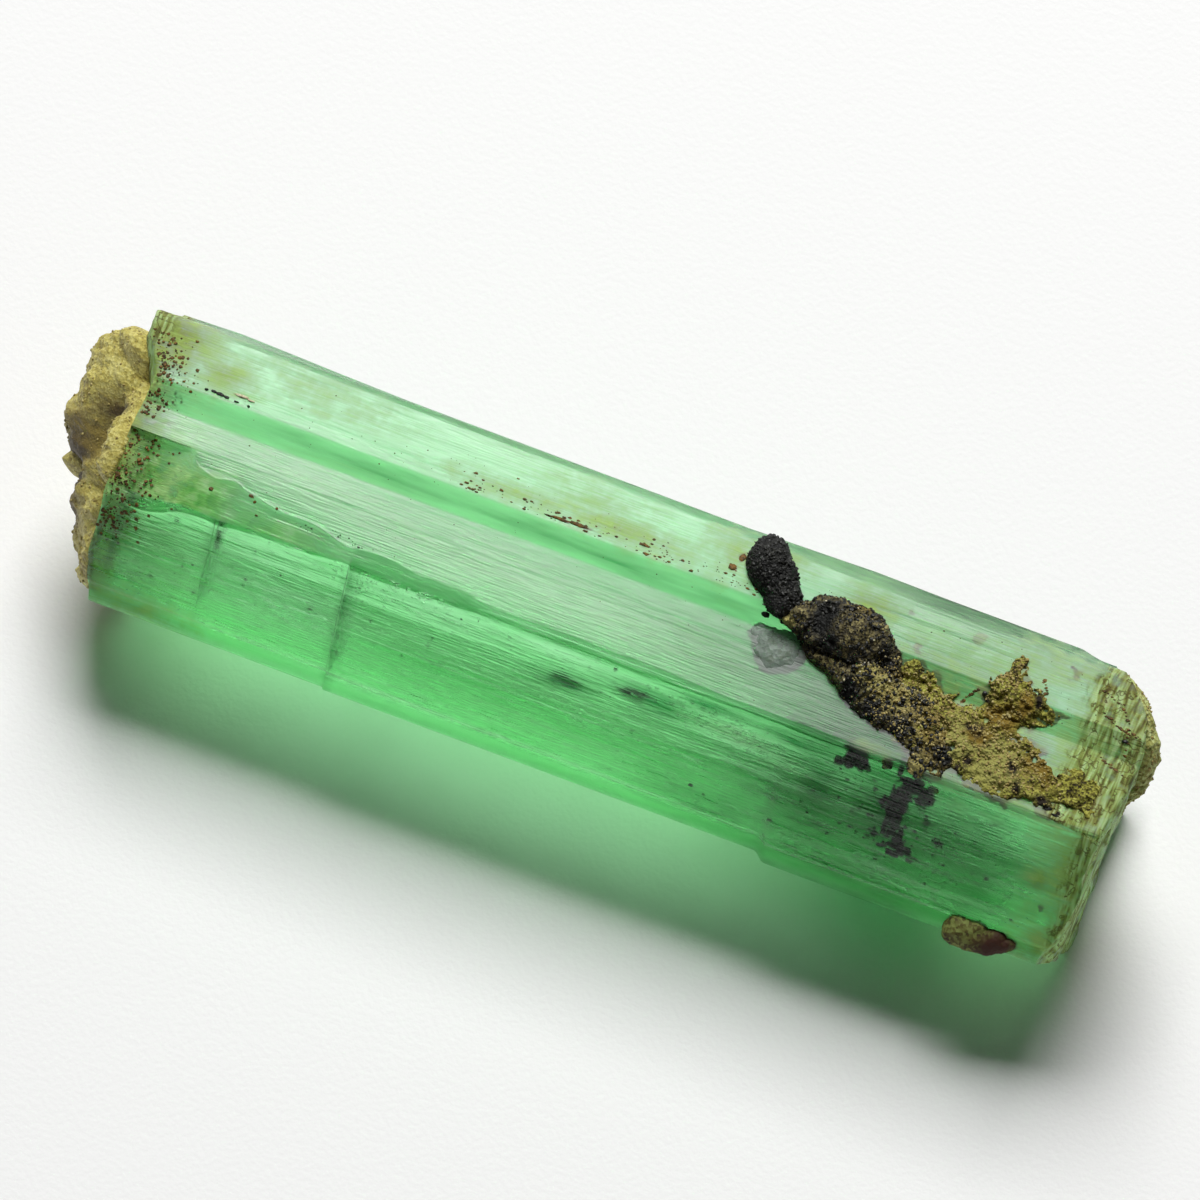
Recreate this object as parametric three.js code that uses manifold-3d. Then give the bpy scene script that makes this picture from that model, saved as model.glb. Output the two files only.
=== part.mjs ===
// A natural emerald: one six-sided beryl prism about 20 mm long and 6 mm across, lying on a prism face.
// Both ends are broken. A seam of mica schist crosses the top near the right end, beside a black
// biotite knob, with thin limonite around it, and tan crust covers the left end.
// Millimetres. +X runs along the crystal to the end with the schist, +Y is the back, +Z is up, and
// Z = 0 is the face it rests on. The origin is under the middle of the whole specimen.
import * as THREE from 'three';
import { mergeVertices } from 'three/addons/utils/BufferGeometryUtils.js';
import Module from 'manifold-3d';

const wasm = await Module();
wasm.setup();

// Driving dimensions of the prism
const leftEnd = -9.25;
const rightEnd = 10.1;
const restHalfWidth = 1.5; // of the face it rests on
const highPlateau = { z: 5.275, frontY: 0.55 };
const plateauBack = [[-9.0, 1.76], [-4.0, 1.72], [0, 1.65], [4.0, 1.5], [6.0, 1.45]]; // Y of its back edge
const lowPlateau = { z: 5.0, backY: 0.155, frontY: -1.45 };
const frontCorner = { y: -2.917, z: 2.459 };
const backCorner = { y: 2.99, z: 2.608 };
const middle = { y: 0, z: 2.62 };

// Growth ledges that run along the hidden faces, each a small step out of the face
const ledge = 0.07; // height of a ledge
const backLedge = { out: 0.62, z: 1.1, run: 0.03 }; // on the lower back face
const upperLedge = { z: 3.9, run: 0.06 }; // on the upper back face
const frontLedge = { out: 0.7, z: 1.19, run: 0.05 }; // on the lower front face
// Where the upper front face swells and steps, as parts of its width from the ridge down
const ridgeFace = { middle: 0.5, shelf: 0.86, shelfEnd: 0.88, swell: 0.02, shelfUp: 0.03 };
const blunt = { corner: 0.05, cornerDown: 0.12, back: 0.04, backUp: 0.09 }; // how far edges are worn off

// Damage and growth steps along the prism
const crack = { x: -4.45, setBack: 0.08 }; // basal crack: the front face is set back to its left
const frontShelf = { x: 4.25, out: 0.17, run: 0.12 }; // the front corner stands out to its right
const slant = 0.35; // how far the shelf's corner drops for each mm that it stands out
const wornRidge = [[-9.25, 1.25], [-8.1, 1.15], [-7.4, 0.72], [-5.6, 0.45], [-4.45, 0.1], [10.5, 0.05]];
const backSwell = [[-9.2, 0.1], [-8.2, 0.14], [-6.5, 0.08], [-5.0, 0.04], [-1.0, 0.02], [4.0, 0]];
const stationStep = 0.75; // spacing of the sections along the prism
const endDepth = 2.4; // how far in from an end its slope reaches
const endRings = 5;
const rightBreak = { bulge: 0.22, backChip: 1.1, frontChip: 0.3, slope: 0.16, layer: 0.16, grain: 0.04 };
const rightBulge = { y: 0.3, z: 4.9, spreadY: 1.2, spreadZ: 2.2 }; // where the right end stands out most
const leftBreak = { backReach: 0.46, cornerChip: 0.3, slope: 0.35, wave: 0.16 };
const frontNormal = { y: -0.866, z: 0.5 }; // the front face looks out along this

const contactGap = 0.04; // between the crystal and what grew on it

// Smooth random values between -1 and 1, the same on every run
function lattice(i, j, k, seed) {
  const wave = Math.sin(i * 127.1 + j * 311.7 + k * 74.7 + seed * 19.19) * 43758.5453;
  return 2 * (wave - Math.floor(wave)) - 1;
}

function noise(x, y, z, seed) {
  const [i, j, k] = [Math.floor(x), Math.floor(y), Math.floor(z)];
  const ease = (t) => t * t * (3 - 2 * t);
  const [u, v, w] = [ease(x - i), ease(y - j), ease(z - k)];
  const at = (a, b, c) => lattice(i + a, j + b, k + c, seed);
  const row = (b, c) => THREE.MathUtils.lerp(at(0, b, c), at(1, b, c), u);
  const layer = (c) => THREE.MathUtils.lerp(row(0, c), row(1, c), v);
  return THREE.MathUtils.lerp(layer(0), layer(1), w);
}

// Value at x on a line through [x, value] pairs
function along(x, pairs) {
  if (x <= pairs[0][0]) return pairs[0][1];
  for (let n = 1; n < pairs.length; n += 1) {
    const [x0, v0] = pairs[n - 1];
    const [x1, v1] = pairs[n];
    if (x <= x1) return v0 + ((v1 - v0) * (x - x0)) / (x1 - x0);
  }
  return pairs[pairs.length - 1][1];
}

const rise = (x, from, to) => THREE.MathUtils.smoothstep(x, Math.min(from, to), Math.max(from, to));

// The prism's outline at x, as [y, z] points from the back edge of the resting face round by the
// back, the top and the front
function section(x) {
  const wear = along(x, wornRidge);
  const swell = along(x, backSwell);
  const back = along(x, plateauBack);
  const setBack = -crack.setBack * (1 - rise(x, crack.x - 0.02, crack.x + 0.02));
  const out = frontShelf.out * rise(x, frontShelf.x - frontShelf.run, frontShelf.x + frontShelf.run);
  const front = {
    y: frontCorner.y + frontNormal.y * (setBack + out),
    z: frontCorner.z + frontNormal.z * setBack - slant * out,
  };
  const ridge = { y: lowPlateau.frontY + frontNormal.y * setBack, z: lowPlateau.z };
  const down = { y: front.y - ridge.y, z: front.z - ridge.z };
  const onFront = (t, lift) => [
    ridge.y + down.y * t + frontNormal.y * lift,
    ridge.z + down.z * t + frontNormal.z * lift,
  ];
  const wearDown = 0.03 + (0.42 * wear) / Math.hypot(down.y, down.z);
  const lowerBack = restHalfWidth + backLedge.out;
  const upperBack = (back + backCorner.y) / 2 + swell;
  const lowerFront = -restHalfWidth - frontLedge.out;
  const sag = 0.03 * wear; // a worn ridge lies a little lower
  return [
    [restHalfWidth, 0],
    [lowerBack, backLedge.z],
    [lowerBack + ledge, backLedge.z + backLedge.run],
    [backCorner.y + swell, backCorner.z - blunt.corner],
    [backCorner.y - blunt.back + swell, backCorner.z + blunt.backUp],
    [upperBack + ledge, upperLedge.z],
    [upperBack, upperLedge.z + upperLedge.run],
    [back + blunt.back / 2, highPlateau.z - blunt.back],
    [back - blunt.corner, highPlateau.z],
    [(back + highPlateau.frontY) / 2, highPlateau.z],
    [highPlateau.frontY, highPlateau.z],
    [(highPlateau.frontY + lowPlateau.backY) / 2, (highPlateau.z + lowPlateau.z) / 2],
    [lowPlateau.backY, lowPlateau.z],
    [(lowPlateau.backY + lowPlateau.frontY) / 2 + wear / 2, lowPlateau.z],
    [lowPlateau.frontY + wear, lowPlateau.z - sag],
    onFront(wearDown, -ridgeFace.swell * wear),
    onFront(ridgeFace.middle, ridgeFace.swell),
    onFront(ridgeFace.shelf, ridgeFace.shelfUp),
    onFront(ridgeFace.shelfEnd, -ridgeFace.swell),
    [front.y, front.z],
    [front.y + blunt.corner, front.z - blunt.cornerDown],
    [lowerFront - frontLedge.run - ledge, frontLedge.z + frontLedge.run],
    [lowerFront, frontLedge.z],
    [-restHalfWidth, 0],
    [-restHalfWidth / 3, 0],
    [restHalfWidth / 3, 0],
  ];
}

// X of the broken right end over the section: a layered break that bulges under the plateau's
// middle, with its back corner and its lower front corner broken away
function rightFace(y, z) {
  const { y: midY, z: midZ, spreadY, spreadZ } = rightBulge;
  const bulge = rightBreak.bulge * Math.exp(-((y - midY) ** 2) / spreadY - ((z - midZ) ** 2) / spreadZ);
  const backChip = rightBreak.backChip * rise(y, 0.6, 2.6) * rise(z, 0.8, 2.6);
  const frontChip = rightBreak.frontChip * rise(-y, 2.3, 3.1);
  const lowerSlope = rightBreak.slope * rise(-z, -3.6, -0.2);
  const layers = rightBreak.layer * Math.round(3 * noise(y * 0.55, z * 0.55, 0, 4)) / 3;
  const grain = rightBreak.grain * noise(y * 2, z * 2, 0, 9);
  return rightEnd + bulge - backChip - frontChip - lowerSlope + layers + grain;
}

// X of the broken left end: it reaches furthest at the back of the high plateau
function leftFace(y, z) {
  const backReach = leftBreak.backReach * rise(y, 0.5, 1.5) - leftBreak.cornerChip * rise(y, 1.7, 2.9);
  const lowerSlope = leftBreak.slope * rise(-z, -1.6, 0);
  return leftEnd - backReach + lowerSlope + leftBreak.wave * noise(y * 0.9, z * 0.9, 0, 17);
}

// A closed skin over rings of equal length, from the point before the first to the point after the last
function skin(first, rings, last) {
  const around = rings[0].length;
  const positions = [first, ...rings.flat(), last].flat();
  const index = [];
  const at = (ring, n) => 1 + ring * around + (n % around);
  for (let n = 0; n < around; n += 1) index.push(0, at(0, n + 1), at(0, n));
  for (let ring = 0; ring + 1 < rings.length; ring += 1) {
    for (let n = 0; n < around; n += 1) {
      const [a, b, c, d] = [at(ring, n), at(ring, n + 1), at(ring + 1, n + 1), at(ring + 1, n)];
      index.push(a, b, c, a, c, d);
    }
  }
  const end = 1 + rings.length * around;
  const lastRing = rings.length - 1;
  for (let n = 0; n < around; n += 1) index.push(end, at(lastRing, n), at(lastRing, n + 1));
  const geometry = new THREE.BufferGeometry();
  geometry.setAttribute('position', new THREE.Float32BufferAttribute(positions, 3));
  return geometry.setIndex(index);
}

function prismGeometry() {
  const shelfStart = frontShelf.x - frontShelf.run;
  const shelfEnd = frontShelf.x + frontShelf.run;
  const besideCrack = 0.03;
  const leastGap = 0.2; // between one section and the next
  const stations = [crack.x - besideCrack, crack.x + besideCrack, shelfStart, shelfEnd];
  const steps = Math.round((rightEnd - leftEnd) / stationStep);
  for (let n = 0; n <= steps; n += 1) {
    const x = leftEnd + ((rightEnd - leftEnd) * n) / steps;
    if (stations.every((other) => Math.abs(other - x) > leastGap)) stations.push(x);
  }
  stations.sort((a, b) => a - b);

  const rings = stations.map((x) => {
    const nearLeft = 1 - rise(x, leftEnd, leftEnd + endDepth);
    const nearRight = rise(x, rightEnd - endDepth, rightEnd);
    return section(x).map(([y, z]) => {
      const shift = nearLeft * (leftFace(y, z) - leftEnd) + nearRight * (rightFace(y, z) - rightEnd);
      return [x + shift, y, z];
    });
  });
  // A ring of an end face: the end's outline drawn in towards the middle, on the broken surface
  const endRing = (outline, face, part) => outline.map(([, y, z]) => {
    const [inY, inZ] = [middle.y + (y - middle.y) * part, middle.z + (z - middle.z) * part];
    return [face(inY, inZ), inY, inZ];
  });
  const parts = Array.from({ length: endRings - 1 }, (_, n) => (n + 1) / endRings);
  const left = parts.map((part) => endRing(rings[0], leftFace, part));
  const right = parts.map((part) => endRing(rings[rings.length - 1], rightFace, part)).reverse();
  const pole = (face) => [face(middle.y, middle.z), middle.y, middle.z];
  return skin(pole(leftFace), [...left, ...rings, ...right], pole(rightFace));
}

function solid(geometry) {
  const bare = geometry.clone().deleteAttribute('normal').deleteAttribute('uv');
  const merged = mergeVertices(bare, 1e-4);
  return new wasm.Manifold(new wasm.Mesh({
    numProp: 3,
    vertProperties: merged.attributes.position.array,
    triVerts: new Uint32Array(merged.index.array),
  }));
}

// The largest single body of a solid, as a three.js geometry
function geometryOf(cut) {
  const body = cut.decompose().sort((a, b) => b.volume() - a.volume())[0];
  const mesh = body.getMesh();
  const geometry = new THREE.BufferGeometry();
  geometry.setAttribute('position', new THREE.Float32BufferAttribute(mesh.vertProperties, 3));
  return geometry.setIndex(Array.from(mesh.triVerts));
}

// A geometry made larger on every side by a distance, about the middle of its box
function grown(geometry, distance) {
  geometry.computeBoundingBox();
  const centre = geometry.boundingBox.getCenter(new THREE.Vector3());
  const size = geometry.boundingBox.getSize(new THREE.Vector3());
  const factor = size.toArray().map((length) => 1 + (2 * distance) / length);
  return geometry.clone().translate(-centre.x, -centre.y, -centre.z).scale(...factor)
    .translate(centre.x, centre.y, centre.z);
}

// How rough a lump is: humps and smaller humps for each radius, in noise away from its zero point
const humps = { pitch: 1.6, finePitch: 3.9, away: 7, fineSeed: 50, fineShare: 0.5 };

// One rough lump: a ball pushed in and out by noise, stretched to half sizes and turned about Z
function lump([x, y, z, halfX, halfY, halfZ, turn = 0], seed, detail, roughness) {
  const faceted = new THREE.IcosahedronGeometry(1, detail);
  const ball = mergeVertices(faceted.deleteAttribute('normal').deleteAttribute('uv'));
  const point = new THREE.Vector3();
  const places = ball.attributes.position;
  for (let n = 0; n < places.count; n += 1) {
    point.fromBufferAttribute(places, n);
    const at = (pitch, from) => noise(...point.toArray().map((c) => c * pitch + humps.away), from);
    const fine = humps.fineShare * at(humps.finePitch, seed + humps.fineSeed);
    point.multiplyScalar(1 + roughness * (at(humps.pitch, seed) + fine));
    places.setXYZ(n, point.x, point.y, point.z);
  }
  return ball.scale(halfX, halfY, halfZ).rotateZ(THREE.MathUtils.degToRad(turn)).translate(x, y, z);
}

// Lumps grown together, cut back where they meet what they grew against
function growth(lumps, against, seed, detail = 3, roughness = 0.22) {
  let joined = null;
  lumps.forEach((place, n) => {
    const next = solid(lump(place, seed + n, detail, roughness));
    joined = joined ? joined.add(next) : next;
  });
  for (const other of against) joined = joined.subtract(solid(grown(other, contactGap)));
  return geometryOf(joined);
}

// Each lump is [x, y, z, half length, half width, half height, turn in degrees]
const seamTurn = -32; // the schist seam crosses the plateau at this angle
const seamLumps = [
  [3.68, 0.78, 5.22, 0.6, 0.4, 0.34, seamTurn],
  [4.45, 0.5, 5.15, 0.88, 0.84, 0.5, seamTurn],
  [5.15, 0.12, 5.1, 0.9, 0.82, 0.42, seamTurn],
  [5.85, -0.38, 5.0, 0.85, 0.6, 0.34, seamTurn],
  [6.5, -0.82, 4.97, 0.75, 0.52, 0.3, seamTurn],
  [6.95, -1.35, 4.82, 0.48, 0.42, 0.34, -50],
];
const knobLump = [2.86, 1.08, 5.4, 0.72, 0.43, 0.36, -48];
const quartzLump = [3.42, -0.12, 4.99, 0.52, 0.4, 0.16, -10];
const limoniteLumps = [
  [7.0, 0.2, 5.02, 0.85, 0.85, 0.25, seamTurn],
  [7.55, -0.55, 4.98, 0.95, 0.8, 0.22, seamTurn],
  [8.25, -0.72, 4.97, 1.0, 0.62, 0.2, seamTurn],
  [7.8, 0.92, 5.27, 0.85, 0.5, 0.16, -20],
  [8.95, -0.9, 4.96, 0.85, 0.46, 0.18, -25],
  [9.62, -1.15, 4.94, 0.55, 0.36, 0.16, -25],
];
const rightCrustLumps = [
  [9.62, 1.42, 4.75, 0.36, 0.36, 0.42, 30],
  [9.95, 1.15, 4.55, 0.34, 0.42, 0.5, 15],
  [10.28, 0.8, 4.15, 0.29, 0.5, 0.52],
  [10.27, 0.5, 3.5, 0.26, 0.46, 0.5],
];
const leftCrustLumps = [
  [-9.78, 1.0, 3.95, 0.9, 0.72, 0.8],
  [-9.78, 0.45, 3.35, 0.9, 0.9, 1.1],
  [-9.45, -0.35, 2.9, 0.82, 0.9, 1.2],
  [-9.3, -1.1, 2.5, 0.75, 0.85, 1.3],
  [-9.2, -1.85, 2.4, 0.5, 0.7, 1.0],
  [-9.35, 0.5, 1.9, 0.7, 1.2, 1.0],
  [-9.25, -0.2, 4.3, 0.5, 1.1, 0.45],
];
const leftGrainLump = [-10.28, -0.42, 2.8, 0.46, 0.26, 0.32, 20];
const chipLump = [8.55, -3.0, 2.36, 0.6, 0.38, 0.42, 8];

const crystal = geometryOf(solid(prismGeometry()));
const knob = growth([knobLump], [crystal], 30, 4, 0.16);
const seam = growth(seamLumps, [crystal, knob], 40);
const quartz = growth([quartzLump], [crystal, seam], 60, 3, 0.1);
const limonite = growth(limoniteLumps, [crystal, seam], 70);
const rightCrust = growth(rightCrustLumps, [crystal, limonite], 80);
const leftCrust = growth(leftCrustLumps, [crystal], 90);
const leftGrain = growth([leftGrainLump], [leftCrust, crystal], 100, 2, 0.12);
const chip = growth([chipLump], [crystal], 110, 2, 0.2);

const beryl = new THREE.MeshStandardMaterial({ color: '#6fc487', roughness: 0.3, metalness: 0 });
const schist = new THREE.MeshStandardMaterial({ color: '#6b5640', roughness: 0.9, metalness: 0 });
const biotite = new THREE.MeshStandardMaterial({ color: '#1f1e1a', roughness: 0.5, metalness: 0 });
const quartzGrey = new THREE.MeshStandardMaterial({ color: '#8f9c93', roughness: 0.45, metalness: 0 });
const ochre = new THREE.MeshStandardMaterial({ color: '#a68a4a', roughness: 0.9, metalness: 0 });
const tan = new THREE.MeshStandardMaterial({ color: '#b8a465', roughness: 0.9, metalness: 0 });
const rust = new THREE.MeshStandardMaterial({ color: '#7d5a30', roughness: 0.75, metalness: 0 });

const group = new THREE.Group();
const pieces = [
  ['emerald_crystal', crystal, beryl],
  ['mica_schist', seam, schist],
  ['biotite_knob', knob, biotite],
  ['quartz_grain', quartz, quartzGrey],
  ['limonite_crust', limonite, ochre],
  ['right_end_crust', rightCrust, ochre],
  ['left_end_crust', leftCrust, tan],
  ['left_end_grain', leftGrain, tan],
  ['limonite_chip', chip, rust],
];
for (const [name, geometry, material] of pieces) {
  const mesh = new THREE.Mesh(geometry, material);
  mesh.name = name;
  group.add(mesh);
}

export default group;
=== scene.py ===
# A natural emerald: a six-sided prism of green beryl with a seam of mica schist, lying on pale paper.
import math
import bpy
import numpy as np
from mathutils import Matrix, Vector


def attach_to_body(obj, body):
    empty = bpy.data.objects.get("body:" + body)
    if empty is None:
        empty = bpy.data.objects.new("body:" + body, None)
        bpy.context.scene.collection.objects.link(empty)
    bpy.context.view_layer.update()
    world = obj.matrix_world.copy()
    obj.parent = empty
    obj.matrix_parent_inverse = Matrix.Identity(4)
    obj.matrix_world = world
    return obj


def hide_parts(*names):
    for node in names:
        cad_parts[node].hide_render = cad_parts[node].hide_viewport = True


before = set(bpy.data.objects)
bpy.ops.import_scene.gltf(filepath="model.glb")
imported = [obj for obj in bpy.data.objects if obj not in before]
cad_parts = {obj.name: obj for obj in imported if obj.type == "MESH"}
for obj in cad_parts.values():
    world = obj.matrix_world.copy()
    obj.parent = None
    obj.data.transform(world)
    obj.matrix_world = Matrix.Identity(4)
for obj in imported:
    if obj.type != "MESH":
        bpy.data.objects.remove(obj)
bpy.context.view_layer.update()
mm = 0.001               # every size below is in millimetres, as on the solids


# Random values: the same on every run

def lattice(i, j, k, seed):
    # whole numbers scrambled to a value from -1 to 1
    h = (i.astype(np.int64) * 374761393 + j.astype(np.int64) * 668265263
         + k.astype(np.int64) * 1274126177 + int(seed) * 974634211) & 0xFFFFFFFF
    h = ((h ^ (h >> 13)) * 1103515245) & 0xFFFFFFFF
    h = ((h ^ (h >> 15)) * 1911520717) & 0xFFFFFFFF
    return ((h ^ (h >> 16)) & 0xFFFFFF) / 8388607.5 - 1.0


def noise(x, y, z, seed=0):
    # value noise: corner values of a unit lattice, eased from corner to corner
    x, y, z = np.broadcast_arrays(np.asarray(x, float), np.asarray(y, float), np.asarray(z, float))
    i, j, k = np.floor(x), np.floor(y), np.floor(z)
    u, v, w = [t * t * (3 - 2 * t) for t in (x - i, y - j, z - k)]
    total = 0.0
    for a in (0, 1):
        for b in (0, 1):
            for c in (0, 1):
                weight = (u if a else 1 - u) * (v if b else 1 - v) * (w if c else 1 - w)
                total = total + weight * lattice(i + a, j + b, k + c, seed)
    return total


def fractal(x, y, z, seed=0, octaves=4, gain=0.5):
    # noise added to itself at double the pitch and a share of the height
    total, height, pitch, norm = 0.0, 1.0, 1.0, 0.0
    for n in range(octaves):
        total = total + height * noise(x * pitch, y * pitch, z * pitch, seed + 11 * n)
        norm += height
        height *= gain
        pitch *= 2.03
    return total / norm


def rise(t, start, end):
    # smooth step from 0 at start to 1 at end
    s = np.clip((t - start) / (end - start), 0, 1)
    return s * s * (3 - 2 * s)


# Meshes and materials

def makePiece(name, verts, quads, tris=None, attributes=None, smooth=True):
    # verts in mm; quads and tris are arrays of vertex numbers
    mesh = bpy.data.meshes.new(name)
    tris = np.zeros((0, 3), int) if tris is None else tris
    loops = np.concatenate([quads.ravel(), tris.ravel()]).astype(np.int32)
    totals = np.concatenate([np.full(len(quads), 4), np.full(len(tris), 3)]).astype(np.int32)
    starts = np.concatenate([[0], np.cumsum(totals)[:-1]]).astype(np.int32)
    mesh.vertices.add(len(verts))
    mesh.vertices.foreach_set("co", (np.asarray(verts) * mm).astype(np.float32).ravel())
    mesh.loops.add(len(loops))
    mesh.loops.foreach_set("vertex_index", loops)
    mesh.polygons.add(len(totals))
    mesh.polygons.foreach_set("loop_start", starts)
    mesh.polygons.foreach_set("loop_total", totals)
    mesh.polygons.foreach_set("use_smooth", np.full(len(totals), smooth))
    for key, values in (attributes or {}).items():
        layer = mesh.attributes.new(key, "FLOAT", "POINT")
        layer.data.foreach_set("value", np.asarray(values, np.float32).ravel())
    mesh.update()
    mesh.validate()
    piece = bpy.data.objects.new(name, mesh)
    bpy.context.scene.collection.objects.link(piece)
    return piece


def attach(piece, node=None):
    # fixes a piece to the body, in place of the solid of a node where it has one
    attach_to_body(piece, "root")
    if node:
        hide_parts(node)


def gridFaces(rows, columns, closed=False):
    # quads over a grid of rows by columns, numbered row by row
    r = np.arange(rows - 1)[:, None]
    c = np.arange(columns if closed else columns - 1)[None, :]
    nextColumn = (c + 1) % columns
    r = r * columns
    corners = [r + c, r + nextColumn, r + columns + nextColumn, r + columns + c]
    return np.stack([np.broadcast_to(a, (rows - 1, c.size)) for a in corners], -1).reshape(-1, 4)


def ballFaces(rows, columns):
    # quads round closed rows, and triangles to the two poles, whose points come last
    n, last, pole = np.arange(columns), (rows - 1) * columns, rows * columns
    after = (n + 1) % columns
    tris = [np.stack([0 * n + pole, after, n], -1), np.stack([0 * n + pole + 1, last + n, last + after], -1)]
    return gridFaces(rows, columns, closed=True), np.concatenate(tris)


def sheetFaces(faces, count):
    # faces of two sheets on one grid, the second turned over, which share the points of their rim
    uses = np.bincount(faces.ravel(), minlength=count)
    rim = (uses > 0) & (uses < 4)
    share = np.arange(count) + np.where(rim, 0, count)
    return np.concatenate([faces, share[faces[:, ::-1]]]), rim


def renumber(faces, count):
    # the points in use, and the faces in their numbers
    used = np.unique(faces)
    numbers = np.zeros(count, int)
    numbers[used] = np.arange(len(used))
    return used, numbers[faces]


def toLinear(hexColour):
    # sRGB hex to a linear colour with full alpha
    channels = [int(hexColour[n:n + 2], 16) / 255 for n in (1, 3, 5)]
    return tuple(c / 12.92 if c <= 0.04045 else ((c + 0.055) / 1.055) ** 2.4 for c in channels) + (1.0,)


def addNode(tree, kind, mode=None, stops=(), clamp=False, **links):
    # adds a node; mode is what it works out, on or with, stops are a colour ramp's [position, hex], and
    # links are its sockets by name, or by number as in i0, set to values or to other nodes' outputs, where
    # a node stands for its first output
    node = tree.nodes.new("ShaderNode" + kind)
    if mode:
        setattr(node, {"Math": "operation", "Mix": "data_type", "Attribute": "attribute_name"}[kind], mode)
    if clamp:
        node.use_clamp = True
    for number, (position, colour) in enumerate(stops):
        elements = node.color_ramp.elements
        element = elements[number] if number < len(elements) else elements.new(position)
        element.position, element.color = position, toLinear(colour)
    for key, value in links.items():
        socket = node.inputs[int(key[1:]) if key[1:].isdigit() else key.replace("_", " ")]
        value = value.outputs[0] if isinstance(value, bpy.types.Node) else value
        if isinstance(value, bpy.types.NodeSocket):
            tree.links.new(value, socket)
        else:
            socket.default_value = value
    return node


def newMaterial(name):
    material = bpy.data.materials.new(name)
    material.use_nodes = True
    material.node_tree.nodes.clear()
    return material, material.node_tree


def blotch(tree, key, pattern, reach, contrast):
    # an attribute broken up by a pattern: attribute x reach + (pattern - 0.5) x contrast, cut to 0 to 1,
    # and faded out where the attribute is under a sixth
    value = addNode(tree, "Attribute", key).outputs["Fac"]
    shift = addNode(tree, "Math", "MULTIPLY_ADD", i0=pattern, i1=contrast, i2=-0.5 * contrast)
    raised = addNode(tree, "Math", "MULTIPLY_ADD", clamp=True, i0=value, i1=reach, i2=shift)
    fade = addNode(tree, "Math", "MULTIPLY", clamp=True, i0=value, i1=6.0)
    return addNode(tree, "Math", "MULTIPLY", i0=raised, i1=fade)


# The prism

prism = dict(
    leftEnd=-9.25, rightEnd=10.1,                # where the broken ends stand, along X
    restHalfWidth=1.5,                           # of the face it rests on
    highZ=5.275, highFrontY=0.55,                # the high plateau at the back of the top
    lowZ=5.0, lowBackY=0.155, ridgeY=-1.45,      # the low plateau, down to the ridge
    frontY=-2.917, frontZ=2.459,                 # the front corner
    backY=2.99, backZ=2.608,                     # the back corner
    middleY=0.0, middleZ=2.62,
    ledge=0.07,                                  # growth ledges along the hidden faces
    crackX=-4.45, crackSetBack=0.08,             # basal crack across the front face
    shelfX=4.25, shelfOut=0.17, shelfRun=0.12,   # the front corner stands out to its right
    plateauBack=[[-9, 1.76], [-4, 1.72], [0, 1.68], [4, 1.6], [6, 1.57]],
    wornRidge=[[-9.25, 1.25], [-8.1, 1.15], [-7.4, 0.72], [-5.6, 0.45], [-4.5, 0.3], [-3, 0.26],
               [-1.8, 0.08], [10.5, 0.05]],
    backBevel=[[-9, 0.2], [-4, 0.3], [2, 0.6], [4.5, 1], [9, 1], [9.8, 0.5]],
    bevelWide=0.38, bevelDeep=0.24,              # of the chipped back edge, where backBevel is 1
    backSwell=[[-9.2, 0.1], [-8.2, 0.14], [-6.5, 0.08], [-5, 0.04], [-1, 0.02], [4, 0]],
    endDepth=2.4,                                # how far in from an end its slope reaches
    stations=175, endRings=26, gather=0.27,      # share of the even spacing that is lost at both ends
)


def along(x, pairs):
    return np.interp(x, [p[0] for p in pairs], [p[1] for p in pairs])


def frontFace(x):
    # the sharp ridge and the front corner of the section at each x, and how far the ridge is worn back
    p = prism
    wear = along(x, p["wornRidge"]) * (1 + 0.26 * noise(x * 1.3, 0, 3, 5) + 0.07 * noise(x * 3.7, 0, 3, 6))
    setBack = -p["crackSetBack"] * (1 - rise(x, p["crackX"] - 0.02, p["crackX"] + 0.02))
    out = p["shelfOut"] * rise(x, p["shelfX"] - p["shelfRun"], p["shelfX"] + p["shelfRun"])
    frontY = p["frontY"] - 0.866 * (setBack + out)
    frontZ = p["frontZ"] + 0.5 * setBack - 0.35 * out
    return p["ridgeY"] - 0.866 * setBack, p["lowZ"] + 0 * x, frontY, frontZ, wear


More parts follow.
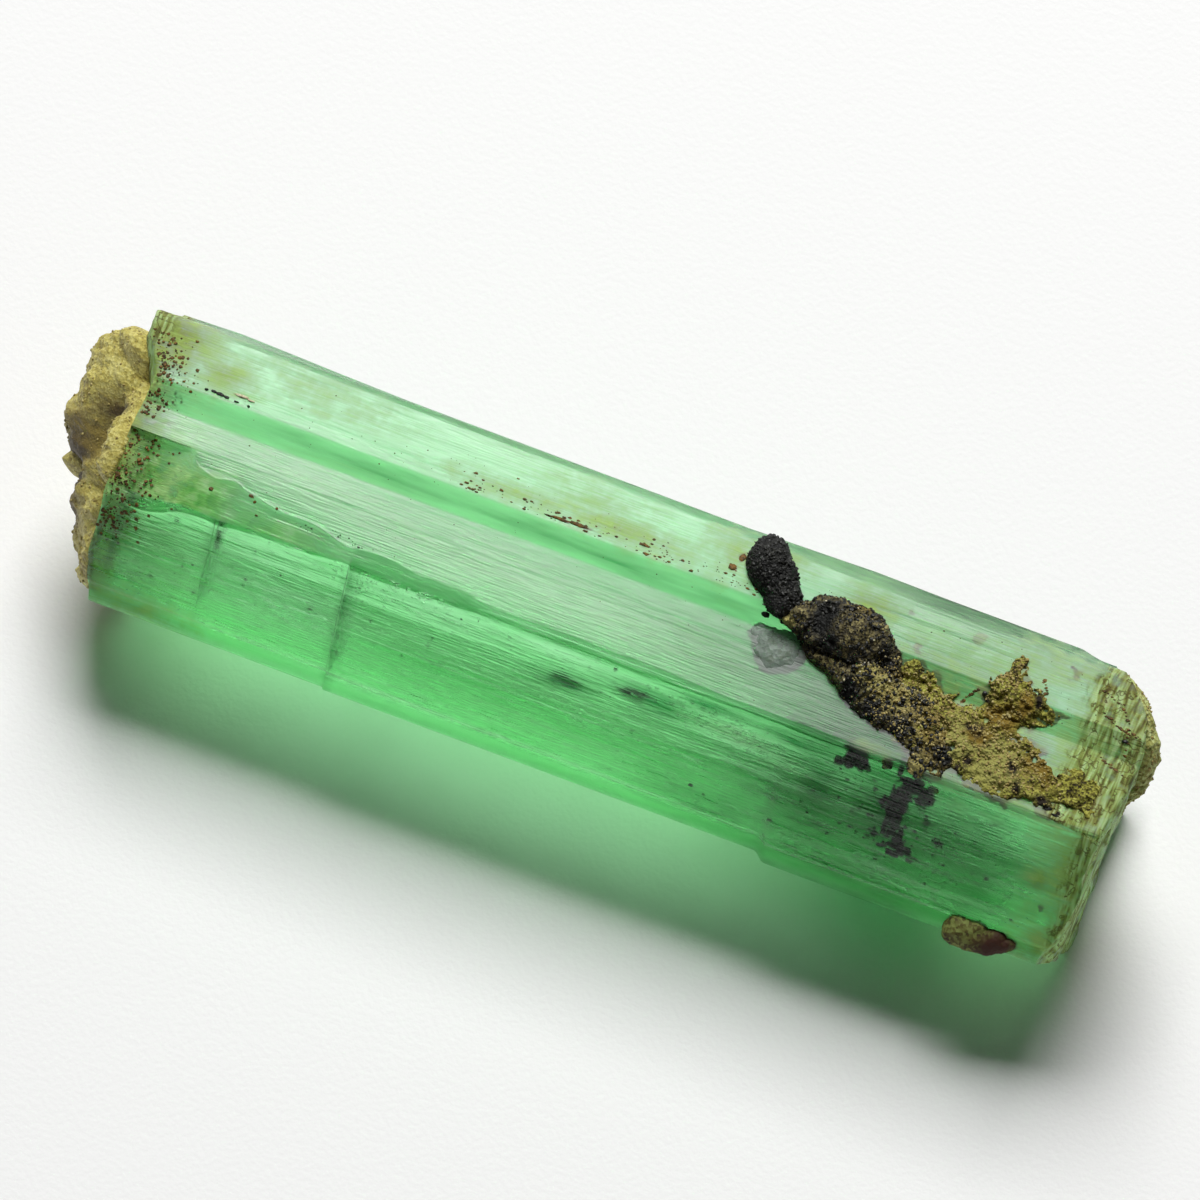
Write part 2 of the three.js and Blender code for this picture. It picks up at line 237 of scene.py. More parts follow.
def prismCorners(x):
    # the section's corners at each x, from the back edge of the resting face round by back, top and front
    p = prism
    swell, back = along(x, p["backSwell"]), along(x, p["plateauBack"])
    ridgeY, ridgeZ, frontY, frontZ, wear = frontFace(x)
    downY, downZ = frontY - ridgeY, frontZ - ridgeZ

    def onFront(t, lift):
        return ridgeY + downY * t - 0.866 * lift, ridgeZ + downZ * t + 0.5 * lift

    wearDown = 0.03 + 0.42 * wear / np.hypot(downY, downZ)
    half, ledge = p["restHalfWidth"], p["ledge"]
    bevel = along(x, p["backBevel"])
    midBack = (back + p["backY"]) / 2 + swell + p["bevelWide"] * bevel / 3
    corners = [
        (half, 0), (half + 0.62, 1.1), (half + 0.62 + ledge, 1.13),
        (p["backY"] + swell, p["backZ"] - 0.05), (p["backY"] - 0.04 + swell, p["backZ"] + 0.09),
        (midBack + ledge, 3.9), (midBack, 3.96),
        (back + 0.03 + p["bevelWide"] * bevel, p["highZ"] - 0.03 - p["bevelDeep"] * bevel),
        (back, p["highZ"]), (0.95, p["highZ"]),
        (p["highFrontY"], p["highZ"]),
        ((p["highFrontY"] + p["lowBackY"]) / 2, (p["highZ"] + p["lowZ"]) / 2),
        (p["lowBackY"], p["lowZ"]), (-0.45, p["lowZ"]),
        (p["ridgeY"] + wear, p["lowZ"] - 0.03 * wear),
        onFront(wearDown, -0.02 * wear), onFront(0.5, 0.02), onFront(0.86, 0.03), onFront(0.88, -0.02),
        (frontY, frontZ), (frontY + 0.05, frontZ - 0.12),
        (-half - 0.75 - ledge, 1.24), (-half - 0.7, 1.19), (-half, 0), (-0.5, 0), (0.5, 0),
    ]
    y = np.stack([c[0] + 0 * x for c in corners], -1)
    z = np.stack([c[1] + 0 * x for c in corners], -1)
    return y, z


# how many points each side of the section takes: the faces that show take the most
sidePoints = [14, 2, 16, 3, 14, 2, 22, 5, 26, 16, 12, 12, 22, 34, 30, 36, 34, 4, 10, 5, 14, 2, 14, 8, 8, 8]

# how far along X each form of the broken ends reaches
rightBreak = dict(bulge=0.22, backChip=1.1, frontChip=0.3, lowerSlope=0.16, layer=0.055,
                  layersBack=0.14, fine=0.018)
leftBreak = dict(backReach=0.46, backSlope=0.3, lowerSlope=0.35, waves=0.12, fine=0.03)


def rightFace(y, z):
    # X of the broken right end: bulging under the plateau, chipped at the back and lower front, in layers
    p = rightBreak
    bulge = p["bulge"] * np.exp(-(y - 0.3) ** 2 / 1.2 - (z - 4.9) ** 2 / 2.2)
    backChip = p["backChip"] * rise(y, 0.6, 2.6) * rise(z, 0.8, 2.6)
    frontChip = p["frontChip"] * rise(-y, 2.3, 3.1)
    lowerSlope = p["lowerSlope"] * rise(-z, -3.6, -0.2)
    steps = 2.4 * fractal(y * 0.8, z * 0.8, 0, 4, 3) + 0.9 * z
    layers = (np.floor(steps) + rise(steps - np.floor(steps), 0.72, 1.0)) * p["layer"] - p["layersBack"]
    fine = p["fine"] * fractal(y * 5, z * 5, 0, 9, 3)
    return prism["rightEnd"] + bulge - backChip - frontChip - lowerSlope + layers + fine


def leftFace(y, z):
    # X of the broken left end, which reaches furthest at the back of the high plateau
    p = leftBreak
    backReach = p["backReach"] * rise(y, 0.5, 1.5) - p["backSlope"] * rise(y, 1.7, 2.9)
    lowerSlope = p["lowerSlope"] * rise(-z, -1.6, 0)
    return (prism["leftEnd"] - backReach + lowerSlope + p["waves"] * noise(y * 0.9, z * 0.9, 0, 17)
            + p["fine"] * fractal(y * 3, z * 3, 0, 18, 3))


# growth ledges: how many in a mm along X and round the section, how sharply they step, and their height
growthLedges = [[0.12, 3.1, 2.5, 0.009], [0.3, 8, 2, 0.006], [0.8, 17, 0, 0.0035]]


def prismSkin(x):
    # points of the prism's sides at each x: corners joined by straight sides, then moved along the normal
    # by growth ledges, which are noise drawn out 20 times along X, cut off at their steps by tanh
    cornerY, cornerZ = prismCorners(x)
    nextY, nextZ = np.roll(cornerY, -1, 1), np.roll(cornerZ, -1, 1)
    side = np.repeat(np.arange(len(sidePoints)), sidePoints)
    t = np.concatenate([np.arange(n) / n for n in sidePoints])
    y = cornerY[:, side] * (1 - t) + nextY[:, side] * t
    z = cornerZ[:, side] * (1 - t) + nextZ[:, side] * t
    runY, runZ = (nextY - cornerY)[:, side], (nextZ - cornerZ)[:, side]
    length = np.hypot(runY, runZ) + 1e-9
    normalY, normalZ = runZ / length, -runY / length
    edge = np.minimum(t, 1 - t) * length          # distance from the side's own ends
    xx = np.broadcast_to(x[:, None], y.shape)
    around = np.cumsum(np.hypot(*np.gradient(np.stack([y[0], z[0]]), axis=1)))[None, :]
    ledges = 0.0
    for number, (alongMm, roundMm, steep, height) in enumerate(growthLedges):
        pattern = noise(xx * alongMm, around * roundMm, 1.5, 21 + number)
        ledges = ledges + (np.tanh(steep * pattern) if steep else pattern) * height
    wear = along(x, prism["wornRidge"])[:, None] - 0.1
    onWorn = np.clip(wear, 0, 0.6) * np.exp(-((side - 14.3 + t) / 1.1) ** 2)
    rough = onWorn * (0.05 * fractal(xx * 2.2, y * 2.2, z * 2.2, 31, 4) - 0.01)
    move = ledges * rise(edge, 0, 0.05) + rough
    move = np.where(side[None, :] >= 23, -np.abs(move) * 0.6, move)   # the resting face stays flat
    return y + normalY * move, z + normalZ * move


def stationsX():
    # sections along the prism, closer together at the crack, the shelf and the ends
    left, right = prism["leftEnd"], prism["rightEnd"]
    t = np.linspace(0, 1, prism["stations"])
    x = left + (right - left) * (t - prism["gather"] * np.sin(2 * np.pi * t) / (2 * np.pi))
    extra = np.concatenate([prism["crackX"] + np.array([-0.06, -0.03, -0.012, 0.012, 0.03, 0.06]),
                            prism["shelfX"] + np.linspace(-0.2, 0.2, 7)])
    x = x[np.min(np.abs(x[:, None] - extra[None, :]), 1) > 0.03]
    return np.sort(np.concatenate([x, extra]))


# Beryl: clear green glass to the eye, etched by growth, with lines along its length; the faces that
# look down are frosted, and iron and healed cracks cloud it in places
beryl = dict(
    ior=1.58, absorbs="#7cffa0", density=180.0,
    # roughness of the front, the plateaus, the underside, the upper back and the stains
    polish=0.26, dull=0.46, frost=0.8, gloss=0.4, stained=0.95,
    lineWidth=0.036, lineLength=0.6, lineDepth=0.016,
    # the second colour is painted shade, a deeper green for the front face and the strip between the
    # plateaus; the third is the veils' dark green, partly real dark zones and partly painted shade
    clear="#f4fff6", front="#b2f4bd", veilAndShadeGreen="#1d7a3c", milk="#b9ecae", cracks="#5a4a18",
    cloudClear=0.65, stainClear=0.4,             # share of light that still goes through a cloud, a stain
    # thickness and length of the ends' basal layers, and how many times deeper than the lines they are
    layer=0.07, layerRun=0.45, pits=3.0,
    blotsPerMm=2.6, bumpShare=0.7,
    crackLevel=0.56, crackFine=35.0,             # of the blots, where the rind is cracked, and how finely
    rust=[[0.3, "#75662a"], [0.42, "#9aa044"], [0.54, "#b0c468"], [0.72, "#c8e096"]],
    lime=[[0.35, "#6cb85c"], [0.48, "#98d674"], [0.58, "#b4e89c"], [0.7, "#d6f4c8"]],
    bark=[[0.34, "#6a6228"], [0.44, "#97994a"], [0.54, "#b4c476"], [0.66, "#cfe2a2"]],
)


# Tints of the prism's skin, as [X, s, half length, half width, strength]; s is the distance from the
# ridge, up over the plateaus, and below zero down the front face
tints = dict(
    iron=[[-9.2, 3, 1, 0.8, 1], [-8, 2.6, 0.7, 0.4, 0.8], [-9.3, 1.6, 0.5, 1.2, 0.7],
          [-9.4, 0.2, 0.45, 1.2, 0.6], [-8.2, 0.5, 0.7, 0.4, 0.4], [-6.3, 2.9, 1.8, 0.5, 0.35],
          [-2, 2.4, 1.6, 0.22, 0.6], [0, 2.45, 1.6, 0.3, 0.75], [-0.6, 2.8, 1.2, 0.4, 0.45],
          [2.1, 2.8, 0.7, 0.6, 0.6], [4.7, 2.75, 0.6, 0.3, 0.8], [6.2, 2, 0.9, 0.6, 0.4],
          [9.9, 2.4, 0.9, 1.6, 0.75], [9, 2.9, 0.9, 0.5, 0.55], [9.4, 0.6, 0.9, 0.8, 0.5],
          [10, -0.9, 0.7, 1.3, 0.85], [9.8, -2.6, 0.6, 0.6, 0.7], [9.4, -1.3, 0.25, 0.35, 0.8],
          [5.9, 0.12, 0.5, 0.12, 0.5], [-8.2, -2.75, 1.2, 0.35, 0.5], [9.6, 1.4, 0.8, 1.6, 1],
          [7.6, 1.4, 1, 1.3, 0.75], [8.6, 0.5, 0.9, 0.5, 0.8], [6.6, 1.6, 0.6, 0.7, 0.7],
          [8, 2.9, 0.7, 0.5, 0.5], [3, 3, 0.5, 0.3, 0.6], [-9.3, 2.3, 0.35, 1.6, 1],
          [-9.2, 0.6, 0.3, 1.3, 0.8]],
    milk=[[-8.2, 1.3, 0.9, 0.45, 0.9], [-7.2, 0.7, 0.35, 0.5, 0.9], [-6, 1.2, 2.4, 0.5, 0.55],
          [-3, 0.9, 3, 0.5, 0.5], [0, 0.8, 3, 0.5, 0.35], [-6.5, 0.2, 0.8, 0.35, 0.5],
          [-7.3, 2.38, 0.3, 0.07, 1], [-1, 3.1, 2.5, 0.5, 0.35], [-8.2, -1.4, 1.2, 1.4, 0.5],
          [4.6, 3.2, 1.6, 0.35, 0.8], [6.5, 2.7, 2, 0.6, 1], [7.05, 0.12, 0.25, 0.3, 0.9],
          [7.6, -0.05, 0.7, 0.09, 0.95], [9, 0, 1.1, 0.16, 0.9], [8.9, 1.45, 0.5, 0.35, 0.7],
          [9.3, 2.1, 0.5, 0.4, 0.5], [3.3, -0.65, 0.8, 0.2, 0.6], [4.2, -0.9, 0.6, 0.2, 0.4]],
    # bright spots of the front face are left out of its painted shade, so they show lighter there, as painted
    # light
    bright=[[-2.7, -0.35, 1.5, 0.3, 1], [-0.3, -0.3, 1.1, 0.2, 0.9], [-5.6, -1.5, 1.6, 0.6, 0.9],
            [-3.2, -2.6, 2.5, 0.3, 0.8], [-6, -0.6, 1.2, 0.4, 0.7], [0.8, -2.5, 1.2, 0.3, 0.6],
            [6.4, -2.2, 0.5, 0.2, 0.9], [3.4, -0.7, 0.7, 0.2, 0.7]],
    worn=[[-8.9, 0.5, 0.9, 0.75, 1], [-7.6, 0.35, 0.7, 0.4, 0.9], [-6, 0.15, 1.2, 0.25, 0.6],
          [-9.3, -0.2, 0.5, 0.6, 0.8]],
    # veils darken with a dark green: on the front face they are its dark zones and the lines of the two basal
    # cracks; on the strip, the right of the low plateau and the upper back face they are painted shade, and
    # on the lower front face and the underside at the right they are painted shade that also dims the light
    # reaching the paper there
    darkVeilAndShade=[[6.61, 2.58, 0.16, 0.15, 1], [-8.6, -1.2, 1.2, 1.8, 0.4], [1.5, -0.5, 1, 0.3, 0.5],
          [0, -0.85, 0.7, 0.2, 0.9], [1.8, -0.6, 0.8, 0.4, 0.85], [3.2, 2, 1, 0.5, 0.45],
          [4.7, -1.1, 1, 1.4, 0.5], [6.3, -1.1, 0.7, 0.9, 0.8], [3.4, 1.2, 0.7, 0.4, 0.35],
          [2.8, -2.3, 1.4, 0.45, 0.55], [8.2, -1.1, 1, 1.6, 0.5], [-4.4, -1.5, 0.12, 1.6, 0.75],
          [-7.13, -1.1, 0.1, 1.3, 0.6], [5.8, 5.4, 2.6, 1.2, 0.8], [6.2, -4.2, 2.6, 1.2, 1],
          [2.6, 0.9, 1.7, 0.9, 0.5], [1.8, 1.75, 1.6, 0.35, 0.45], [5.5, 3.95, 5, 0.6, 1],
          [-3, 3.6, 4, 0.4, 0.5], [-5.5, 1.86, 3, 0.17, 0.6], [0.5, 1.86, 3.5, 0.17, 0.65],
          [8.3, -2, 0.9, 0.8, 0.8], [5.5, -2.6, 1.2, 0.35, 0.6], [5, -1.1, 0.5, 1.2, 0.9],
          [4.6, -0.3, 0.9, 0.2, 0.8], [2.6, -0.25, 1, 0.16, 0.8], [8.9, -1.2, 0.8, 0.6, 0.6]],
)


def tintField(x, s, spots):
    # the most of some soft ovals
    field = np.zeros_like(x)
    for spotX, spotS, halfLong, halfWide, strength in spots:
        far = ((x - spotX) / halfLong) ** 2 + ((s - spotS) / halfWide) ** 2
        field = np.maximum(field, strength * np.exp(-far))
    return field


def prismTints(verts):
    x, y, z = verts.T
    down = np.hypot(y - prism["ridgeY"], z - prism["lowZ"])
    s = np.where(y < prism["ridgeY"], -down, down + 0.08 * (z > 5.1))
    fields = {key: tintField(x, s, spots) for key, spots in tints.items()}
    # roughness: frosted below and on both lower faces, dull on the plateaus, glossy at the upper back
    below = np.clip(rise(np.abs(y), 1.3, 1.6) * rise(-z, -2.7, -2.5) + rise(-z, -0.12, -0.06), 0, 1)
    above = rise(y, prism["ridgeY"] - 0.05, prism["ridgeY"] + 0.05) * rise(z, 4.6, 4.9)
    glossy = rise(y, 1.7, 1.9) * rise(z, 2.6, 2.8)
    # painted shade: the strip between the plateaus, and the front face except its bright spots, are marked
    # for a deeper green
    strip = rise(y, 0.1, 0.2) * (1 - rise(y, 0.5, 0.6)) * rise(z, 4.6, 4.9)
    face = (1 - above) * rise(z, 2.4, 2.6) * rise(-y, 1.2, 1.5)
    fields["front"] = np.maximum(face * (1 - fields.pop("bright")), strip)
    ragged = x + 0.3 * fractal(x * 1.3, y * 1.9, z * 1.9, 61, 4)
    rindStart = 9.75 - 0.75 * above - 0.2 * rise(-z, -2.6, -2.4)
    fields["rind"] = np.maximum(rise(ragged - rindStart, 0, 0.3), 1 - rise(ragged, -9.5, -9.25))
    level = beryl["polish"] + above * (beryl["dull"] - beryl["polish"]) * (0.9 + 0.03 * x)
    level = level + glossy * (1 - below) * (beryl["gloss"] - level)
    fields["rough"] = level + below * (beryl["frost"] - level)
    return fields


def buildPrism():
    x = stationsX()
    y, z = prismSkin(x)
    left, right, depth = prism["leftEnd"], prism["rightEnd"], prism["endDepth"]
    nearLeft = (1 - rise(x, left, left + depth))[:, None]
    nearRight = rise(x, right - depth, right)[:, None]
    px = x[:, None] + nearLeft * (leftFace(y, z) - left) + nearRight * (rightFace(y, z) - right)

    def endRings(ringY, ringZ, face):
        # the outline drawn in towards the middle in rings, on the broken surface
        share = np.linspace(1, 0, prism["endRings"] + 2)[1:-1, None] ** 0.9
        ry = prism["middleY"] + (ringY - prism["middleY"]) * share
        rz = prism["middleZ"] + (ringZ - prism["middleZ"]) * share
        return np.stack([face(ry, rz), ry, rz], -1)

    body = np.stack([px, y, z], -1)
    leftCap = endRings(y[0], z[0], leftFace)[::-1]
    rightCap = endRings(y[-1], z[-1], rightFace)
    rings = np.concatenate([leftCap, body, rightCap])
    rows, columns = rings.shape[:2]
    poles = np.array([[face(prism["middleY"], prism["middleZ"]), prism["middleY"], prism["middleZ"]]
                      for face in (leftFace, rightFace)])
    verts = np.concatenate([rings.reshape(-1, 3), poles])
    piece = makePiece("beryl_prism", verts, *ballFaces(rows, columns), attributes=prismTints(verts))
    attach(piece, "emerald_crystal")
    print("prism", len(verts), "points")
    return piece


def etchedBeryl():
    material, tree = newMaterial("etchedBeryl")
    place = addNode(tree, "TexCoord").outputs["Object"]
    perMm = 1 / mm
    long, wide, run = perMm / beryl["lineLength"], perMm / beryl["lineWidth"], perMm / beryl["layerRun"]
    lines = addNode(tree, "Mapping", i0=place, Scale=(long, wide, wide))
    broad = addNode(tree, "Mapping", i0=place, Scale=(long / 2, wide / 5, wide / 5))
    even = addNode(tree, "Mapping", i0=place, Scale=(perMm, perMm, perMm))
    layered = addNode(tree, "Mapping", i0=place, Scale=(perMm / beryl["layer"], run, run))
    growth = addNode(tree, "TexNoise", Vector=lines, Scale=1.0, Detail=1.0, Roughness=0.6)
    streaks = addNode(tree, "TexNoise", Vector=broad, Scale=1.0, Detail=1.0, Roughness=0.7)
    blots = addNode(tree, "TexNoise", Vector=even, Scale=beryl["blotsPerMm"], Detail=2.5, Roughness=0.75)
    layers = addNode(tree, "TexNoise", Vector=layered, Scale=1.0, Detail=1.0, Roughness=0.6)
    drawn = addNode(tree, "Mix", "FLOAT", Factor=0.6, i2=streaks, i3=growth)
    spotted = addNode(tree, "Mix", "FLOAT", Factor=0.35, i2=blots, i3=growth)
    iron = blotch(tree, "iron", spotted, 1.1, 2.4)
    milk = blotch(tree, "milk", drawn, 0.9, 2.2)
    worn = blotch(tree, "worn", blots, 1.4, 1.6)
    darkVeilAndShade = blotch(tree, "darkVeilAndShade", streaks, 1.1, 1.2)
    rind = blotch(tree, "rind", blots, 1.0, 2.6)
    rust = addNode(tree, "ValToRGB", stops=beryl["rust"], i0=spotted)
    lime = addNode(tree, "ValToRGB", stops=beryl["lime"], i0=blots)
    bark = addNode(tree, "ValToRGB", stops=beryl["bark"], i0=layers)
    # cracks of the rind: thin lines where the pattern of blots passes one level
    off = addNode(tree, "Math", "SUBTRACT", i0=blots, i1=beryl["crackLevel"])
    off = addNode(tree, "Math", "ABSOLUTE", i0=off)
    seams = addNode(tree, "Math", "MULTIPLY_ADD", clamp=True, i0=off, i1=-beryl["crackFine"], i2=1.0)
    broken = addNode(tree, "Math", "MULTIPLY", i0=seams, i1=rind)
    # painted shade: the front face and the strip between the plateaus start from a deeper green than the
    # clear beryl
    front = addNode(tree, "Attribute", "front").outputs["Fac"]
    colour = addNode(tree, "Mix", "RGBA", i0=front, i6=toLinear(beryl["clear"]), i7=toLinear(beryl["front"]))
    # the veils' dark green below is partly the real dark zones of the front face and partly painted shade
    for amount, tone in ((darkVeilAndShade, toLinear(beryl["veilAndShadeGreen"])), (milk, toLinear(beryl["milk"])), (worn, lime),
                         (iron, rust), (rind, bark), (broken, toLinear(beryl["cracks"]))):
        colour = addNode(tree, "Mix", "RGBA", i0=amount, i6=colour.outputs[2], i7=tone)
    stain = addNode(tree, "Math", "MAXIMUM", i0=iron, i1=rind)
    cloud = addNode(tree, "Math", "MAXIMUM", i0=milk, i1=worn)
    clear = addNode(tree, "Mix", "FLOAT", Factor=cloud, i2=1.0, i3=beryl["cloudClear"])
    clear = addNode(tree, "Mix", "FLOAT", Factor=stain, i2=clear, i3=beryl["stainClear"])
    level = addNode(tree, "Attribute", "rough").outputs["Fac"]
    rough = addNode(tree, "Math", "MULTIPLY_ADD", i0=drawn, i1=0.5, i2=0.75)
    rough = addNode(tree, "Math", "MULTIPLY", i0=rough, i1=level)
    rough = addNode(tree, "Mix", "FLOAT", Factor=stain, i2=rough, i3=beryl["stained"])
    bare = addNode(tree, "Attribute", "rind").outputs["Fac"]
    pits = addNode(tree, "Math", "MULTIPLY", i0=bare, i1=layers)
    height = addNode(tree, "Math", "MULTIPLY_ADD", i0=pits, i1=beryl["pits"], i2=growth)
    bump = addNode(tree, "Bump", Height=height, Strength=beryl["bumpShare"],
                   Distance=beryl["lineDepth"] * mm)
    shader = addNode(tree, "BsdfPrincipled", Base_Color=colour.outputs[2], Roughness=rough, IOR=beryl["ior"],
                     Transmission_Weight=clear, Normal=bump)
    inside = addNode(tree, "VolumeAbsorption", Color=toLinear(beryl["absorbs"]), Density=beryl["density"])
    addNode(tree, "OutputMaterial", Surface=shader, Volume=inside)
    return material


buildPrism().data.materials.append(etchedBeryl())


# The skin that the crusts grow on, unrolled: s is the distance round the section from the ridge,
# up over the plateaus and back, and below zero down the front face
skinPath = dict(
    y=[-1.5, -2.25, -2.99, -3.06, -1.45, 0.155, 0.55, 1.5, 2.99],
    z=[0.0, 1.19, 2.28, 2.40, 5.0, 5.0, 5.275, 5.275, 2.6],
    ridge=4,                                     # which of the points is the ridge
)
pathY, pathZ = np.array(skinPath["y"]), np.array(skinPath["z"])
pathS = np.concatenate([[0], np.cumsum(np.hypot(np.diff(pathY), np.diff(pathZ)))])
pathS -= pathS[skinPath["ridge"]]


def skinAt(x, s):
    # the point at s along the path, and a normal that turns over 0.12 mm at each bend; down the front
    # face the path is the section's own side at x, and what stands over the worn ridge is set down on it
    x, s = np.broadcast_arrays(np.asarray(x, float), np.asarray(s, float))
    ridgeY, ridgeZ, frontY, frontZ, wear = frontFace(x)
    down = -s / -pathS[skinPath["ridge"] - 1]
    onFace = (down > 0) & (down <= 1)
    y = np.where(onFace, ridgeY + (frontY - ridgeY) * down, np.interp(s, pathS, pathY))
    z = np.where(onFace, ridgeZ + (frontZ - ridgeZ) * down, np.interp(s, pathS, pathZ))
    worn = 0.09 + 0.42 * wear                      # how far down the front face the wear reaches
    wornY, wornZ = wear + 0.5 * worn, 0.866 * worn - 0.03 * wear
    length = np.hypot(wornY, wornZ)
    over = ((z - ridgeZ + 0.03 * wear) * wornY - (y - ridgeY - wear) * wornZ) / length
    over = np.where((s > -1) & (s < 2), np.maximum(over, 0), 0)
    y, z = y + over * wornZ / length, z - over * wornY / length
    runY = np.interp(s + 0.06, pathS, pathY) - np.interp(s - 0.06, pathS, pathY)
    runZ = np.interp(s + 0.06, pathS, pathZ) - np.interp(s - 0.06, pathS, pathZ)
    length = np.hypot(runY, runZ) + 1e-9
    return np.stack([x, y, z], -1), np.stack([0 * x, -runZ / length, runY / length], -1)


def leftEndAt(y, z):
    return np.stack([leftFace(y, z), y, z], -1), endNormal(y, z, -1)


def rightEndAt(y, z):
    return np.stack([rightFace(y, z), y, z], -1), endNormal(y, z, 1)


def endNormal(y, z, side):
    # out of the end, leaning a little away from its middle
    lean = np.stack([side + 0 * y, 0.1 * (y - prism["middleY"]), 0.1 * (z - prism["middleZ"])], -1)
    return lean / np.linalg.norm(lean, axis=-1, keepdims=True)


def onPlateau(y):
    # the s of a point of the top at y
    return np.interp(y, pathY[skinPath["ridge"]:], pathS[skinPath["ridge"]:])


def insideOutline(a, b, outline):
    # distance to the nearest side of a closed outline, above zero within it
    startA, startB = np.array(outline, float).T
    endA, endB = np.roll(startA, -1), np.roll(startB, -1)
    nearest, crossings = np.full_like(a, 9.0), np.zeros(a.shape, int)
    for n in range(len(startA)):
        runA, runB = endA[n] - startA[n], endB[n] - startB[n]
        t = np.clip(((a - startA[n]) * runA + (b - startB[n]) * runB) / (runA ** 2 + runB ** 2 + 1e-12), 0, 1)
        nearest = np.minimum(nearest, np.hypot(a - startA[n] - t * runA, b - startB[n] - t * runB))
        spans = (startB[n] > b) != (endB[n] > b)
        crossings += spans & (a < startA[n] + runA * (b - startB[n]) / (runB + 1e-12))
    return np.where(crossings % 2 == 1, nearest, -nearest)


def spotField(a, b, spots):
    # the most of a few soft spots, each e to the minus squared distance in its own radii
    field = np.zeros_like(a)
    for spot in spots:
        field = np.maximum(field, np.exp(-((a - spot[0]) ** 2 + (b - spot[1]) ** 2) / spot[2] ** 2))
    return field


def lumpField(a, b, lumps):
    # each lump lifts by its height times the root of 1 - r squared, r in its own half widths, and where
    # lumps meet, the fourth powers of their lifts add up
    height, inside = np.zeros_like(a), np.full_like(a, -1.0)
    for la, lb, halfLong, halfWide, lift, turn in lumps:
        c, d = math.cos(math.radians(turn)), math.sin(math.radians(turn))
        u = ((a - la) * c + (b - lb) * d) / halfLong
        v = (-(a - la) * d + (b - lb) * c) / halfWide
        cap = 1 - u * u - v * v
        inside = np.maximum(inside, cap)
        height = (height ** 4 + (lift * np.sqrt(np.clip(cap, 0, 1))) ** 4) ** 0.25
    return height, inside


def makeCrust(name, node, base, look, outward=1):
    # a crust is two sheets on a grid of the skin: the upper one is lifted by lumps, or by an outline
    # whose edge is rounded off, then by swells and noise, and the sheets meet at the rim, under the skin
    reach = np.array([[p[0] - p[2], p[0] + p[2], p[1] - p[2], p[1] + p[2]] for p in
                      [[l[0], l[1], max(l[2:4]) * 1.35] for l in look.get("lumps", [])]
                      + [[q[0], q[1], 0.3] for q in look.get("outline", [])]])
    a = np.arange(reach[:, 0].min(), reach[:, 1].max(), look["step"])
    b = np.arange(reach[:, 2].min(), reach[:, 3].max(), look["step"])
    gridA, gridB = np.meshgrid(a, b, indexing="ij")
    seed, warp, pitch = look["seed"], look["warp"], look["warpPitch"]
    wa = gridA + warp * fractal(gridA * pitch, gridB * pitch, 1, seed, 4)
    wb = gridB + warp * fractal(gridA * pitch, gridB * pitch, 5, seed + 1, 4)
    height, inside = lumpField(wa, wb, look.get("lumps", []))
    if "outline" in look:
        edge = np.clip(insideOutline(wa, wb, look["outline"]) / look["rounded"], -1, 1)
        inside = np.maximum(inside, edge)
        height = np.maximum(height, look["lift"] * np.sqrt(1 - (1 - np.clip(edge, 0, 1)) ** 2))
    inside = inside + look.get("holes", 0) * fractal(gridA * 3.1, gridB * 3.1, 2, seed + 2, 4)
    cap = np.sqrt(np.clip(inside, 0, 1))
    rough = (look["coarse"] * fractal(gridA * 2.6, gridB * 2.6, 3, seed + 3, 3)
             + look["grain"] * fractal(gridA * 9, gridB * 9, 4, seed + 4, 3))
    bits = 1 - np.abs(noise(gridA * 7, gridB * 7, 6, seed + 5))       # small upright bits of rock
    rough = rough + look.get("bits", 0) * bits ** 3
    for spot in look.get("swells", []):
        rough = rough + spot[3] * spotField(gridA, gridB, [spot])
    height = height + rough * np.clip(cap * 2.5, 0, 1)
    top = height - look["sunk"]
    bottom = -look["sunk"] - look["root"] * cap
    top = np.maximum(top, bottom + 0.01)
    point, normal = base(gridA, gridB)
    keep = inside > 0
    cell = keep[:-1, :-1] | keep[1:, :-1] | keep[:-1, 1:] | keep[1:, 1:]
    faces = gridFaces(*gridA.shape).reshape(gridA.shape[0] - 1, gridA.shape[1] - 1, 4)[cell]
    quads, rim = sheetFaces(faces[:, ::outward], gridA.size)
    top = np.where(rim.reshape(gridA.shape), bottom, top)
    upper = point + normal * top[..., None]
    verts = np.concatenate([upper.reshape(-1, 3), (point + normal * bottom[..., None]).reshape(-1, 3)])
    used, quads = renumber(quads, len(verts))
    tints = {key: np.tile(spotField(wa, wb, spots).ravel(), 2)[used]
             for key, spots in look.get("tints", {}).items()}
    piece = makePiece(name, verts[used], quads, attributes=tints)
    attach(piece, node)
    shown = wellInside(keep) & (top > 0.0)
    print(name, len(used), "points")
    return piece, upper[shown], normal[shown]


def wellInside(keep):
    # grid points whose four neighbours are kept too
    inner = np.zeros_like(keep)
    inner[1:-1, 1:-1] = (keep[1:-1, 1:-1] & keep[:-2, 1:-1] & keep[2:, 1:-1] & keep[1:-1, :-2]
                         & keep[1:-1, 2:])
    return inner


